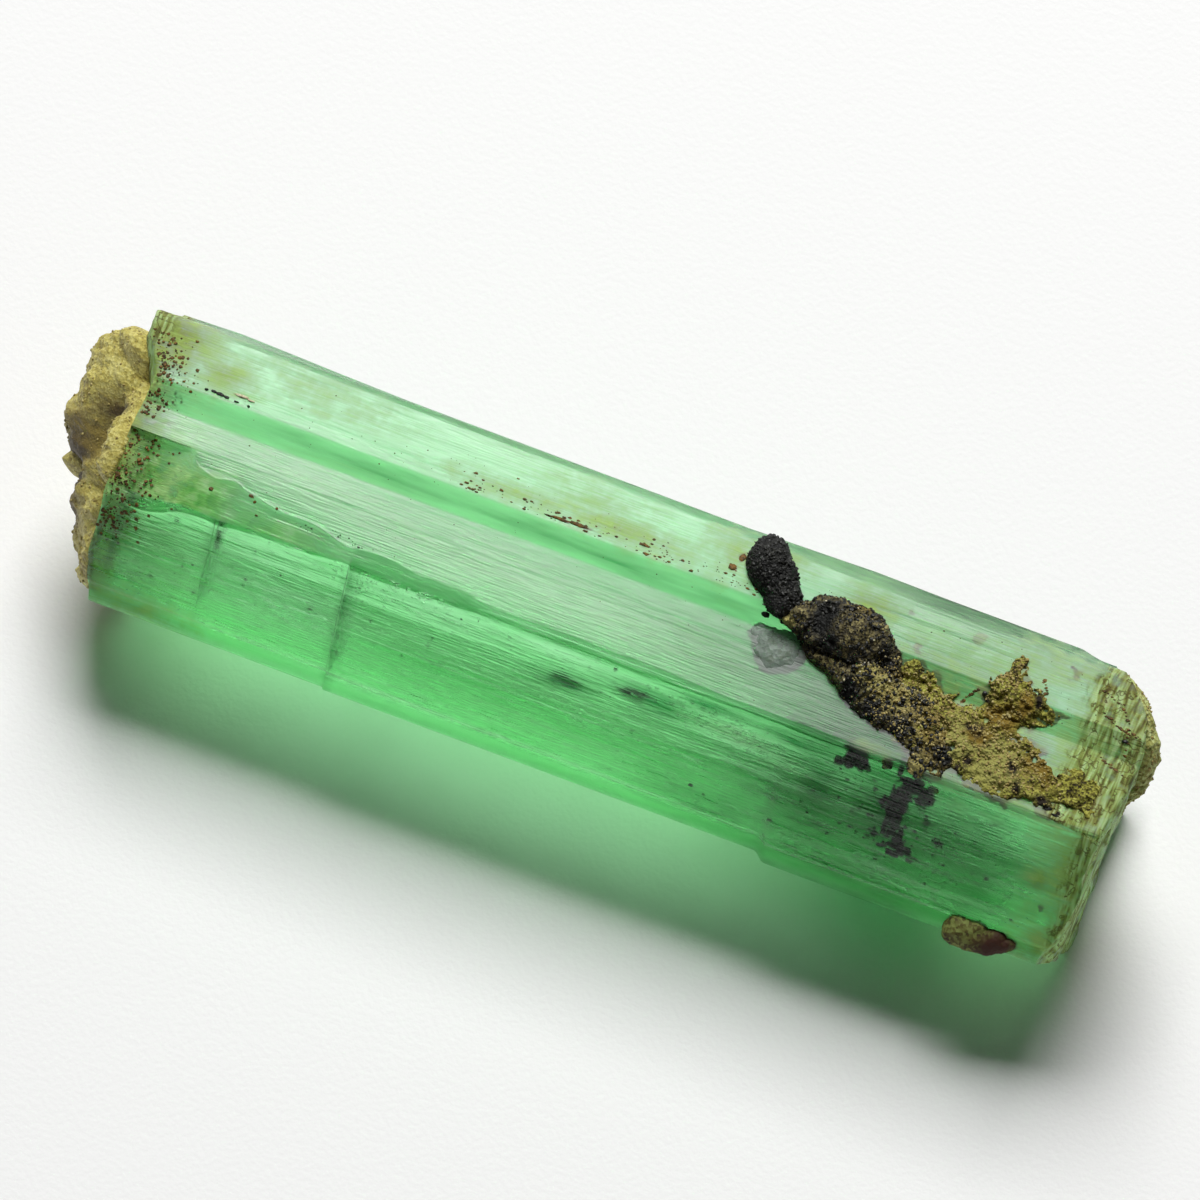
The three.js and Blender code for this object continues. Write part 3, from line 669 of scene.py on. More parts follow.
# A lump is [along, across, half length, half width, height, turn], a swell [along, across, radius, height]
# and a tint's spot [along, across, radius]; on the skin along is X and across is s
schistSeam = dict(
    outline=[[3.3, 2], [3.55, 2.3], [3.77, 2.52], [4.22, 2.62], [4.68, 2.62], [5.15, 2.46], [5.42, 2.26],
             [5.7, 1.93], [5.9, 1.52], [6.3, 1.42], [6.75, 1.1], [7.1, 0.69], [7.24, 0.35], [7.05, 0],
             [6.75, -0.2], [6.55, -0.05], [6.4, 0.3], [6.01, 0.44], [5.51, 0.56], [5, 0.72], [4.67, 0.98],
             [4.42, 1.14], [4.05, 1.32], [3.8, 1.62], [3.4, 1.76], [3.14, 1.88]],
    lift=0.3, rounded=0.34, bits=0.06,
    swells=[[4.55, 2.05, 0.55, 0.26], [5.1, 1.6, 0.5, 0.16], [3.95, 1.95, 0.35, 0.1], [5, 1.05, 0.4, 0.1],
            [5.9, 0.9, 0.5, -0.1], [6.7, 0.4, 0.5, -0.14], [4.06, 2.1, 0.2, -0.16], [5.36, 1.78, 0.17, -0.2],
            [5.02, 0.93, 0.16, -0.12], [6.9, -0.1, 0.35, -0.12]],
    tints=dict(sand=[[5.5, 1.2, 0.36], [5.85, 1.15, 0.3], [5.2, 1.4, 0.2], [6.5, 0.7, 0.3],
                     [3.4, 1.86, 0.14], [6.75, -0.1, 0.3]],
               pit=[[4.06, 2.12, 0.28], [5.36, 1.78, 0.22], [5.02, 0.93, 0.2], [4.3, 1.85, 0.25],
                    [5.5, 0.75, 0.22], [6.05, 0.6, 0.24], [7.05, 0.42, 0.2], [5.35, 2.05, 0.12]],
               rust=[[6.75, 0.85, 0.45], [7.05, 0.5, 0.35], [4.7, 2.6, 0.25]]),
    step=0.0155, seed=40, warp=0.11, warpPitch=2.8, coarse=0.09, grain=0.06, sunk=0.07, root=0.35)
biotiteKnob = dict(
    lumps=[[2.8, onPlateau(1.14), 0.68, 0.42, 0.5, -50], [3.18, onPlateau(0.74), 0.42, 0.36, 0.36, -60]],
    step=0.0125, seed=50, warp=0.07, warpPitch=4, coarse=0.06, grain=0.04, bits=0.04, sunk=0.05, root=0.25)
quartzGrain = dict(
    lumps=[[3.45, 1.32, 0.62, 0.44, 0.075, -12]],
    step=0.0125, seed=60, warp=0.2, warpPitch=2.4, coarse=0.03, grain=0.012, sunk=0.04, root=0.12)
limoniteCrust = dict(
    outline=[[5.7, 1.9], [5.95, 1.98], [6.2, 1.88], [6.51, 1.66], [6.8, 1.47], [7.1, 1.55], [7.25, 1.75],
             [7.18, 2.03], [7.45, 2.15], [7.38, 2.45], [7.31, 2.75], [7.55, 2.9], [7.84, 2.8], [7.9, 2.56],
             [8.11, 2.36], [8.5, 2.38], [8.62, 2.11], [8.85, 1.95], [8.65, 1.6], [8.3, 1.62], [8.2, 1.45],
             [8.45, 1.25], [8.93, 0.99], [9.4, 1.12], [9.6, 0.9], [9.85, 1.05], [9.98, 0.7], [9.98, 0.3],
             [9.7, 0.22], [9.16, 0.19], [8.7, 0.24], [8.45, -0.06], [7.96, -0.02], [7.62, 0.02],
             [7.42, 0.25], [7.1, 0.3], [6.85, 0.14], [6.4, 0.3], [6, 0.6]],
    lift=0.11, rounded=0.14,
    swells=[[7.6, 0.85, 0.6, 0.07], [8.6, 0.5, 0.4, 0.05], [6.6, 1.2, 0.5, 0.08], [7.7, 2, 0.4, 0.04]],
    tints=dict(rust=[[7.75, 1.6, 0.3], [8.05, 1.9, 0.2], [7.95, 2.6, 0.13], [8.7, 0.85, 0.25],
                     [7.5, 1.1, 0.2]],
               pit=[[7.42, 0.5, 0.12], [7.4, 0.28, 0.1], [8.3, 0.65, 0.12], [8.45, 0.4, 0.1],
                    [9.1, 0.26, 0.13], [9.35, 0.22, 0.1], [7.27, 1.88, 0.1], [8.36, 2.1, 0.09],
                    [7.35, 1.2, 0.12]],
               sand=[[7.2, 0.9, 0.4], [8.0, 0.7, 0.5], [7.1, 0.6, 0.2]]),
    step=0.0155, seed=70, warp=0.24, warpPitch=3.2, holes=2.0, coarse=0.09, grain=0.09, sunk=0.06, root=0.03)
rightCrust = dict(
    lumps=[[1.42, 4.75, 0.42, 0.42, 0.32, 0], [1.15, 4.5, 0.5, 0.5, 0.36, 0],
           [0.8, 4.15, 0.5, 0.52, 0.34, 0], [0.5, 3.5, 0.46, 0.5, 0.28, 0]],
    step=0.0165, seed=80, warp=0.14, warpPitch=3, holes=0.2, coarse=0.07, grain=0.04, sunk=0.06, root=0.08)
leftCrust = dict(
    lumps=[[1.2, 4.25, 0.55, 0.6, 0.66, 0], [0.95, 3.7, 0.85, 0.85, 1.16, 0], [0.5, 3.3, 0.85, 0.95, 1.5, 0],
           [0, 3, 0.8, 0.95, 1.32, 0], [-0.6, 2.75, 0.8, 1.1, 1.08, 0], [-1.2, 2.4, 0.8, 1.2, 0.84, 0],
           [-1.85, 2.3, 0.7, 1, 0.5, 0], [0.5, 1.9, 1.2, 1, 0.6, 0], [-0.3, 4.4, 1.1, 0.42, 0.46, 0]],
    tints=dict(pit=[[-0.5, 3.2, 0.3], [-0.9, 2.8, 0.3], [0, 4.2, 0.3], [-1.3, 2.5, 0.25], [-0.2, 2.2, 0.2]],
               rust=[[-0.3, 3.5, 0.4], [-1.0, 2.6, 0.5], [0.7, 3.0, 0.3]]),
    step=0.021, seed=90, warp=0.13, warpPitch=1.6, coarse=0.14, grain=0.06, bits=0.02, sunk=0.05, root=0.06)
ironChip = dict(
    lumps=[[8.3, -2.92, 0.44, 0.3, 0.3, 14], [8.66, -3, 0.5, 0.28, 0.28, 20],
           [9, -2.96, 0.3, 0.16, 0.18, 16]],
    tints=dict(pit=[[8.95, -2.95, 0.3]]),
    step=0.014, seed=110, warp=0.09, warpPitch=3, coarse=0.04, grain=0.02, sunk=0.05, root=0.1)

schist, schistPoints, schistNormals = makeCrust("schist_seam", "mica_schist", skinAt, schistSeam)
knob, knobPoints, knobNormals = makeCrust("biotite_lump", "biotite_knob", skinAt, biotiteKnob)
quartz, _, _ = makeCrust("quartz_lens", "quartz_grain", skinAt, quartzGrain)
limonite, ochrePoints, ochreNormals = makeCrust("limonite_coat", "limonite_crust", skinAt,
                                                limoniteCrust)
rightRind, rindPoints, rindNormals = makeCrust("right_end_rind", "right_end_crust", rightEndAt,
                                               rightCrust)
leftTan, tanPoints, tanNormals = makeCrust("left_end_tan", "left_end_crust", leftEndAt,
                                           leftCrust, outward=-1)
chip, _, _ = makeCrust("iron_chip", "limonite_chip", skinAt, ironChip)


def rockMaterial(name, stops, grainSize, roughness, depth, seed=0.0, tones=None, through=0.0):
    # broken rock: grains of a few sizes, each its own shade, dull to the eye; tones tint its spots
    material, tree = newMaterial(name)
    place = addNode(tree, "TexCoord").outputs["Object"]
    moved = addNode(tree, "Mapping", i0=place, Location=(seed, 0, 0), Scale=(1000, 1000, 1000))
    grains = addNode(tree, "TexVoronoi", Vector=moved, Scale=1 / grainSize)
    shade = addNode(tree, "SeparateColor", i0=grains.outputs["Color"])
    patches = addNode(tree, "TexNoise", Vector=moved, Scale=1.6, Detail=5.0, Roughness=0.76)
    varied = addNode(tree, "Mix", "FLOAT", Factor=0.3, i2=patches, i3=shade)
    colour = addNode(tree, "ValToRGB", stops=stops, i0=varied).outputs[0]
    for key, tone in (tones or {}).items():
        amount = blotch(tree, key, patches, 1.4, 1.8)
        colour = addNode(tree, "Mix", "RGBA", i0=amount, i6=colour, i7=toLinear(tone)).outputs[2]
    fine = addNode(tree, "TexNoise", Vector=moved, Scale=0.7 / grainSize, Detail=2.5, Roughness=0.75)
    height = addNode(tree, "Math", "ADD", i0=fine, i1=grains)
    bump = addNode(tree, "Bump", Height=height, Strength=0.8, Distance=depth * mm)
    shader = addNode(tree, "BsdfPrincipled", Base_Color=colour, Roughness=roughness, Normal=bump,
                     Transmission_Weight=through)
    addNode(tree, "OutputMaterial", Surface=shader)
    return material


# Mica schist: grey-brown flakes with black mica and sand in it, which glint a little
schist.data.materials.append(rockMaterial(
    "micaSchist",
    [[0.3, "#0f0f06"], [0.42, "#363018"], [0.52, "#5b5230"], [0.62, "#827849"], [0.75, "#b0a66e"]],
    0.05, 0.7, 0.04, tones=dict(sand="#a39a58", rust="#746422", pit="#070803")))
# Biotite: black mica, with bluish glints
knob.data.materials.append(rockMaterial(
    "biotiteMica", [[0.4, "#020301"], [0.6, "#080a05"], [0.74, "#1c1d13"], [0.86, "#4a4d48"]],
    0.045, 0.65, 0.04, 3.0))
# Quartz: greyish and frosted, a dull violet against the green
quartz.data.materials.append(rockMaterial(
    "frostedQuartz", [[0.3, "#55694f"], [0.5, "#76877a"], [0.7, "#93a196"]],
    0.08, 0.6, 0.01, 5.0, through=0.6))
# Limonite: earthy iron rust, matt, from olive to ochre
limonite.data.materials.append(rockMaterial(
    "earthyLimonite", [[0.34, "#2c2506"], [0.44, "#66601c"], [0.54, "#8e8c33"], [0.66, "#acac50"]],
    0.045, 0.9, 0.03, 7.0, tones=dict(sand="#96944c", rust="#7c661c", pit="#1f1505")))
# Limonite on the right end: thin over the beryl, so a paler yellow-green
rightRind.data.materials.append(rockMaterial(
    "endRind", [[0.3, "#6e642c"], [0.45, "#98984e"], [0.6, "#b0b870"], [0.8, "#ccd898"]],
    0.06, 0.85, 0.03, 9.0))
# Fine sand cemented on the left end, pale yellow with brown specks
leftTan.data.materials.append(rockMaterial(
    "tanCrust", [[0.3, "#8f7f34"], [0.42, "#bcae50"], [0.55, "#d2c76a"], [0.7, "#e4dc88"]],
    0.05, 0.85, 0.015, 11.0, tones=dict(rust="#8a7830", pit="#4c3c12"), through=0.25))
# Ironstone: a dull rusty chip, red-brown at one end
chip.data.materials.append(rockMaterial(
    "rustyIronstone", [[0.32, "#3c3010"], [0.48, "#666226"], [0.62, "#869048"]],
    0.06, 0.75, 0.012, 13.0, tones=dict(pit="#44220e")))


# The pointed grain: radius round a leaning axis, a sine from base to tip with flattened sides
pointedGrain = dict(
    base=[-9.9, -0.42, 2.85], axis=[-0.94, -0.2, 0.1], across=[-0.2, 0.97, 0.1], upward=[0.1, -0.08, 0.99],
    length=0.8, width=0.3, rows=40, columns=48,
)


def grainPiece():
    look = {key: np.array(value) for key, value in pointedGrain.items()}
    t, turn = np.meshgrid(np.linspace(0, 1, look["rows"]),
                          np.linspace(0, 2 * np.pi, look["columns"], endpoint=False), indexing="ij")
    uneven = fractal(np.cos(turn) * 1.5, np.sin(turn) * 1.5, t * 3, 5, 3)
    sides = 1 + 0.12 * np.cos(3 * turn + 0.6) + 0.1 * uneven
    radius = look["width"] * np.sin(np.pi * t ** 0.8) ** 0.8 * sides
    verts = (look["base"] + (t * look["length"])[..., None] * look["axis"]
             + (radius * np.cos(turn))[..., None] * look["across"]
             + (radius * np.sin(turn))[..., None] * look["upward"])
    points = np.concatenate([verts[1:-1].reshape(-1, 3), verts[:1, 0], verts[-1:, 0]])
    piece = makePiece("pointed_grain", points, *ballFaces(int(look["rows"]) - 2, int(look["columns"])))
    attach(piece, "left_end_grain")
    piece.data.materials.append(bpy.data.materials["tanCrust"])


grainPiece()


# Small grains, joined in one mesh for each kind
grainShape = dict(rings=5, columns=8, uneven=0.28)


def grainMesh(name, material, centres, normals, sizes, seed, tilt=0.3, turned=True):
    # every grain is a ball of rings and columns, each point moved out by chance, then stretched to its
    # half sizes along, across and out of the skin; tilt is how far, in parts of one, its axis leans
    chance = np.random.default_rng(seed)
    rings, columns, count = grainShape["rings"], grainShape["columns"], len(centres)
    up = np.pi * (np.arange(1, rings + 1) / (rings + 1))[:, None]
    turn = 2 * np.pi * (np.arange(columns) / columns)[None, :]
    unit = np.stack([np.sin(up) * np.cos(turn), np.sin(up) * np.sin(turn), np.cos(up) + 0 * turn], -1)
    unit = np.concatenate([unit.reshape(-1, 3), [[0, 0, 1], [0, 0, -1]]])
    balls = unit[None] * (1 + grainShape["uneven"] * chance.uniform(-1, 1, (count, len(unit), 1)))
    out = normals + tilt * chance.normal(size=(count, 3))
    out /= np.linalg.norm(out, axis=1, keepdims=True)
    lead = np.broadcast_to([1.0, 0.0, 0.0], (count, 3)) + (chance.normal(size=(count, 3)) if turned else 0)
    first = lead - np.sum(lead * out, 1, keepdims=True) * out
    first /= np.linalg.norm(first, axis=1, keepdims=True)
    second = np.cross(out, first)
    sizes = np.broadcast_to(sizes, (count, 3))
    verts = centres[:, None]
    for axis, way in enumerate((first, second, out)):
        verts = verts + balls[..., axis:axis + 1] * (sizes[:, axis:axis + 1] * way)[:, None]
    step = (np.arange(count) * len(unit))[:, None, None]
    faces = [(face[:, ::-1] + step).reshape(-1, face.shape[1]) for face in ballFaces(rings, columns)]
    piece = makePiece(name, verts.reshape(-1, 3), *faces)
    piece.data.materials.append(material)
    attach(piece)
    print(name, count, "grains")


def pickPoints(points, normals, count, seed, near=None, spread=0.5):
    # some points of a crust, all over it or round a few places
    chance = np.random.default_rng(seed)
    if near is not None:
        gap = np.min(np.linalg.norm(points[:, None, :2] - np.array(near)[None], axis=2), 1)
        weight = np.exp(-(gap / spread) ** 2)
        picked = chance.choice(len(points), count, p=weight / weight.sum())
    else:
        picked = chance.choice(len(points), count)
    return points[picked], normals[picked]


def onSkin(places, depth=0.0):
    # points and normals of the skin at [X, s], sunk by depth
    places = np.array(places, float)
    point, normal = skinAt(places[:, 0], places[:, 1])
    return point - normal * np.reshape(depth, (-1, 1)), normal


def scatter(low, high, count, power=1.0, seed=0):
    # sizes from low to high, more of the small ones where power is over one
    return low + (high - low) * np.random.default_rng(seed).random((count, 1)) ** power


# Black mica: thin flakes, near black, with a dull glint
blackMica = rockMaterial("blackMicaFlakes", [[0.3, "#060704"], [0.6, "#16170f"], [0.8, "#45463a"]],
                         0.03, 0.5, 0.01, 2.0)
# Feldspar: milky cream grit
whiteGrit = rockMaterial("paleFeldsparGrit", [[0.3, "#a39a74"], [0.55, "#cfc7a4"], [0.75, "#ece7d0"]],
                         0.04, 0.6, 0.01, 4.0)
# Rust: dark red-brown specks
rustGrit = rockMaterial("rustGrit", [[0.3, "#2e2208"], [0.5, "#5b4515"], [0.65, "#7f5a18"]],
                        0.04, 0.7, 0.01, 6.0)
# Sand stained by iron: matt, pale ochre
tanGrit = rockMaterial("ochreSand", [[0.3, "#7c6a35"], [0.5, "#a39355"], [0.7, "#c2b67c"]],
                       0.04, 0.85, 0.01, 8.0)


# Grains on the crusts: how many, smallest and largest half size, how much commoner the small ones are,
# shape along, across and out, the places that they gather round and how far, and how far they lean
crustGrains = [
    dict(name="mica_flakes", slot="biotite", material=blackMica,
         points=(schistPoints, knobPoints), normals=(schistNormals, knobNormals),
         count=2400, low=0.012, high=0.055, power=2.0, shape=[1, 0.8, 0.3], near=None, spread=0.5, tilt=0.6),
    dict(name="feldspar_grains", slot="quartz", material=whiteGrit,
         points=(schistPoints,), normals=(schistNormals,),
         count=70, low=0.01, high=0.03, power=2.5, shape=[1, 0.9, 0.8],
         near=[[4.6, 0.3], [5.1, 0.1], [5.6, -0.2]], spread=0.7, tilt=0.3),
    dict(name="sand_grains", slot="limonite", material=tanGrit,
         points=(schistPoints, ochrePoints), normals=(schistNormals, ochreNormals),
         count=2400, low=0.01, high=0.035, power=2.2, shape=[1, 0.9, 0.7],
         near=[[5.9, -0.3], [6.6, -0.4], [7.4, -0.3], [8.4, -0.6], [7.6, 0.8]], spread=0.6, tilt=0.3),
    dict(name="end_sand", slot="tan_crust", material=tanGrit,
         points=(tanPoints, rindPoints), normals=(tanNormals, rindNormals),
         count=700, low=0.01, high=0.04, power=2.0, shape=[1, 0.9, 0.7], near=None, spread=0.5, tilt=0.3),
]
for number, look in enumerate(crustGrains):
    seed = 3 * number + 1
    places, facing = pickPoints(np.concatenate(look["points"]), np.concatenate(look["normals"]),
                                look["count"], seed, look["near"], look["spread"])
    size = scatter(look["low"], look["high"], look["count"], look["power"], seed + 1) * look["shape"]
    grainMesh(look["name"], look["material"], places, facing, size, seed + 2, look["tilt"])


# What the crystal holds: black mica flakes, healed tubes along its length, mist, and basal cracks
squareShare = 0.927                              # of a step along lookIn, how much goes square to the face
lookIn = np.array([-0.109, 0.624, -0.773])       # the way a look through the front face goes on inside


def underFront(places, depth):
    # points under the front face that show at [X, s], at a depth square to the face
    point, normal = skinAt(places[:, 0], places[:, 1])
    return point + lookIn * np.reshape(depth, (-1, 1)) / squareShare, normal


sealedMica = dict(
    # [X, s, depth, half long, half wide, half thick]
    flakes=[[5.5, -0.2, 0.22, 0.27, 0.25, 0.05], [5.75, -0.33, 0.3, 0.14, 0.1, 0.04],
            [6.28, -0.85, 0.3, 0.08, 0.13, 0.03], [6.66, -1.5, 0.35, 0.15, 0.2, 0.04],
            [6.5, -1.28, 0.5, 0.12, 0.1, 0.04], [6.96, -0.65, 0.25, 0.1, 0.07, 0.03],
            [6.24, -1.6, 0.3, 0.09, 0.08, 0.03], [7.42, -1.33, 0.25, 0.1, 0.07, 0.03],
            [7.1, -1, 0.4, 0.07, 0.1, 0.03], [1.2, -0.62, 0.9, 0.35, 0.1, 0.04],
            [0, -0.85, 0.9, 0.3, 0.07, 0.03], [6.5, -0.8, 0.4, 0.2, 0.6, 0.05],
            [6.8, -0.4, 0.2, 0.3, 0.25, 0.04], [6.75, -1.75, 0.2, 0.3, 0.14, 0.03],
            [9.55, -1.88, 0.08, 0.04, 0.09, 0.02], [9.1, -2.35, 0.05, 0.04, 0.04, 0.02]],
    # each flake is a cluster of this many grains, spread by parts of its size, and each grain a part of it
    grains=30, spread=[0.5, 0.5, 0.12], furthest=1.1, highest=-0.06, part=[0.3, 0.3, 0.6],
    # specks: how many and their sizes, the share round one place, and where the others begin and end
    specks=[320, 0.01, 0.045], shape=[1.2, 0.8, 0.4], nearShare=0.6, near=[6.5, -1.3], nearWide=[0.7, 0.55],
    start=[-9, -2.7], end=[9.6, -0.1], least=[-8.7, -2.7], most=[9.5, -0.12], depth=[0.08, 0.7],
)
# Healed tubes, and mist and glints in clusters round the [X, s] in middles: how many, smallest and largest
# half size, how much commoner the small ones are, and their shape, spread, highest and lowest s and depths
healedTubes = dict(
    count=900, size=[0.05, 0.36], power=2.2, thick=0.012, depth=[0.04, 1.1],
    start=[-8.8, -2.75], end=[9.3, -0.1], least=[-8.5, -2.7], most=[9.2, -0.12],
    bandShare=0.1, band=[-5.7, -1.6], bandWide=[1.0, 0.3])
healedMist = dict(
    count=500, size=[0.01, 0.03], power=2.0, shape=[1.6, 0.9, 0.7], spread=[0.45, 0.16],
    within=[-2.7, -0.1], depth=[0.03, 0.4],
    middles=[[3.3, -0.62], [3.9, -0.85], [2.3, -0.5], [-4.0, -0.5], [7.3, -1.9], [0.4, -1.6]])
healedGlints = dict(
    count=260, size=[0.015, 0.05], power=1.8, shape=[1.6, 0.8, 0.16], spread=[0.22, 0.1],
    within=[-2.75, -0.2], depth=[0.08, 0.5],
    middles=[[6.36, -2.15], [6.5, -2.4], [7.7, -2.55], [7.45, -2.45], [8.3, -0.5], [-3.6, -0.16],
             [-2.8, -0.2], [-5.8, -1.65], [-4.9, -1.7], [3.2, -0.6], [4.6, -2.5]],
    normal=[0.015, -0.162, 0.987])               # turned so, a film shows the camera the softbox


def innerPieces():
    # a grain of a flake lies at the flake's place plus a bell curve of half its size each way
    look, chance = sealedMica, np.random.default_rng(21)
    flake = np.repeat(np.array(look["flakes"]), look["grains"], 0)
    shift = chance.normal(size=(len(flake), 3)) * look["spread"]
    around = flake[:, :2] + np.clip(shift[:, :2], -look["furthest"], look["furthest"]) * flake[:, 3:5]
    around[:, 1] = np.minimum(around[:, 1], look["highest"])
    point, normal = underFront(around, flake[:, 2] + shift[:, 2] * flake[:, 3])
    flakeSize = flake[:, 3:] * look["part"] * (0.4 + chance.random((len(flake), 1)))
    count, low, high = look["specks"]
    near = chance.random(count) < look["nearShare"]
    spots = np.where(near[:, None], chance.normal(size=(count, 2)) * look["nearWide"] + look["near"],
                     chance.uniform(look["start"], look["end"], (count, 2)))
    spots = np.clip(spots, look["least"], look["most"])
    more, moreNormal = underFront(spots, chance.uniform(*look["depth"], count))
    sizes = np.concatenate([flakeSize, scatter(low, high, count, 2.5, 22) * look["shape"]])
    grainMesh("sealed_mica", blackMica, np.concatenate([point, more]),
              np.concatenate([normal, moreNormal]), sizes, 23, tilt=0.15, turned=False)

    look = healedTubes
    spots = chance.uniform(look["start"], look["end"], (look["count"], 2))
    banded = chance.random(look["count"]) < look["bandShare"]
    spots[banded] = chance.normal(size=(banded.sum(), 2)) * look["bandWide"] + look["band"]
    spots = np.clip(spots, look["least"], look["most"])
    point, normal = underFront(spots, chance.uniform(*look["depth"], look["count"]))
    long = scatter(*look["size"], look["count"], look["power"], 24)
    points, normals, sizes = [point], [normal], [long * [1, 0, 0] + look["thick"] * np.array([0, 1, 1])]
    for seed, look in ((25, healedMist), (26, healedGlints)):
        middle, count = np.array(look["middles"]), look["count"]
        spots = middle[chance.integers(0, len(middle), count)]
        spots = spots + chance.normal(size=(count, 2)) * look["spread"]
        spots[:, 1] = np.clip(spots[:, 1], *look["within"])
        point, normal = underFront(spots, chance.uniform(*look["depth"], count))
        points.append(point)
        normals.append(np.tile(look["normal"], (count, 1)) if "normal" in look else normal)
        sizes.append(scatter(*look["size"], count, look["power"], seed) * look["shape"])
    grainMesh("healed_tubes", fluidMaterial(), np.concatenate(points), np.concatenate(normals),
              np.concatenate(sizes), 27, tilt=0.04, turned=False)


def fluidMaterial():
    # healed tubes filled with water: its index is 1.33 over the beryl's, so they show as thin bright lines
    material, tree = newMaterial("healedFluid")
    shader = addNode(tree, "BsdfPrincipled", Base_Color=toLinear("#ffffff"), Roughness=0.05, IOR=0.84,
                     Transmission_Weight=1.0)
    addNode(tree, "OutputMaterial", Surface=shader)
    return material


def filmMaterial():
    # a crack filled with air: its index is 1 over the beryl's 1.58, so it mirrors what meets it aslant
    material, tree = newMaterial("airFilm")
    place = addNode(tree, "TexCoord").outputs["Object"]
    ripple = addNode(tree, "TexNoise", Vector=place, Scale=2500.0, Detail=1.0)
    bump = addNode(tree, "Bump", Height=ripple, Strength=0.4, Distance=0.03 * mm)
    rough = addNode(tree, "Math", "MULTIPLY", i0=ripple, i1=0.5)
    shader = addNode(tree, "BsdfPrincipled", Base_Color=toLinear("#ffffff"), Roughness=rough,
                     Transmission_Weight=1.0, IOR=0.633, Normal=bump)
    addNode(tree, "OutputMaterial", Surface=shader)
    return material


# [X, highest s, lowest s, depth into the crystal, lean along X for each mm in]
basalCracks = dict(films=[[-4.45, -0.02, -2.7, 1.9, 0.03], [-7.13, 0.2, -2.3, 1.3, 0.05]],
                   thick=0.009, under=0.035, points=34)


def basalFilms():
    # each film is a thin lens on a grid of s and depth: half its thickness is the root of the product of
    # both parabolas, and it waves a little along X
    verts, quads, n = [], [], basalCracks["points"]
    u, v = np.meshgrid(np.linspace(0, 1, n), np.linspace(0, 1, n), indexing="ij")
    for number, (x, high, low, inward, lean) in enumerate(basalCracks["films"]):
        ragged = 1 + 0.3 * fractal(u * 3, v * 3, number, 130, 3)
        depth = basalCracks["under"] + v * inward * ragged
        point, normal = skinAt(x + 0 * u, high + (low - high) * u)
        half = basalCracks["thick"] * np.sqrt(np.clip(16 * u * (1 - u) * v * (1 - v), 0, 1))
        middle = point - normal * depth[..., None]
        middle[..., 0] += lean * depth + 0.05 * fractal(u * 2.5, v * 2.5, number, 131, 3)
        for side in (1, -1):
            sheet = middle.copy()
            sheet[..., 0] += side * half
            verts.append(sheet.reshape(-1, 3))
        quads.append(sheetFaces(gridFaces(n, n)[:, ::-1], n * n)[0] + number * 2 * n * n)
    verts = np.concatenate(verts)
    used, quads = renumber(np.concatenate(quads), len(verts))
    piece = makePiece("basal_cracks", verts[used], quads)
    piece.data.materials.append(filmMaterial())
    attach(piece)
    print("basal cracks", len(used), "points")


# Specks on the skin, placed as [X, s, half long, half wide], or strewn along the plateau's edge, by the
# left end, all over and as a patch of black moss: how many, and their smallest and largest half size
skinSpecks = dict(
    rust=[[-7.4, 0.39, 0.045, 0.05], [-6.64, 0.53, 0.06, 0.035], [-6.55, 0.44, 0.035, 0.03],
          [-6.11, 0.46, 0.03, 0.03], [-8.64, -0.59, 0.04, 0.05], [-8.75, -0.66, 0.03, 0.02],
          [-7.97, -0.4, 0.025, 0.02], [-6.43, 0.2, 0.03, 0.02], [-8.75, 3.05, 0.04, 0.04],
          [-1.15, 2.2, 0.2, 0.035], [-0.8, 2.22, 0.22, 0.04], [-1.4, 2.19, 0.1, 0.02],
          [0.45, 2.3, 0.12, 0.03], [2.1, 2.5, 0.09, 0.07], [2.2, 2.75, 0.07, 0.09],
          [7.4, 1.93, 0.05, 0.05]],
    black=[[-8.2, 2.19, 0.04, 0.03], [-8.05, 2.2, 0.07, 0.03], [-7.92, 2.19, 0.08, 0.035],
           [-7.8, 2.18, 0.06, 0.03], [-7.6, 2.16, 0.05, 0.02], [-7.35, 2.16, 0.03, 0.03],
           [-9.05, 3.2, 0.06, 0.04], [3, 1.86, 0.08, 0.05], [7.28, 1.88, 0.06, 0.05], [10, 1.95, 0.06, 0.04],
           [9.15, 0.2, 0.09, 0.05], [9.35, 0.12, 0.08, 0.03]],
    white=[[-7.55, 2.3, 0.14, 0.035], [-7.35, 2.28, 0.09, 0.025], [-9.09, 3.55, 0.09, 0.07]],
    names=dict(rust="rust_specks", black="black_specks", white="white_chips"),
    thick=dict(rust=0.018, black=0.02, white=0.02),
    edgeX=[-3.2, 2.8], edgeS=2.12, edgeWide=0.2, endS=[-1.6, 3.0], endIn=0.03, endWide=0.35,
    looseFrom=[-9.0, 0.1], looseTo=[9.8, 3.3], mossAt=[-5.0, 0.32], mossWide=[0.3, 0.07],
    edge=[150, 0.008, 0.03], end=[620, 0.008, 0.042], loose=[260, 0.005, 0.014], moss=[60, 0.008, 0.02],
    # rusty cracks of the right end, as lines of specks
    crackSteps=16, crackWide=0.012, crackSize=[0.015, 0.035],
    cracks=[[[9.45, 2.33], [9.7, 2.2], [10.0, 2.12], [10.25, 2.1]], [[9.7, 1.5], [9.9, 1.42], [10.2, 1.32]],
            [[6.9, 1.5], [7.0, 1.75], [7.15, 1.9]], [[9.3, 2.75], [9.7, 2.6], [9.95, 2.3], [10.1, 1.7]],
            [[8.2, 2.55], [8.35, 2.3], [8.25, 2.2]]],
)


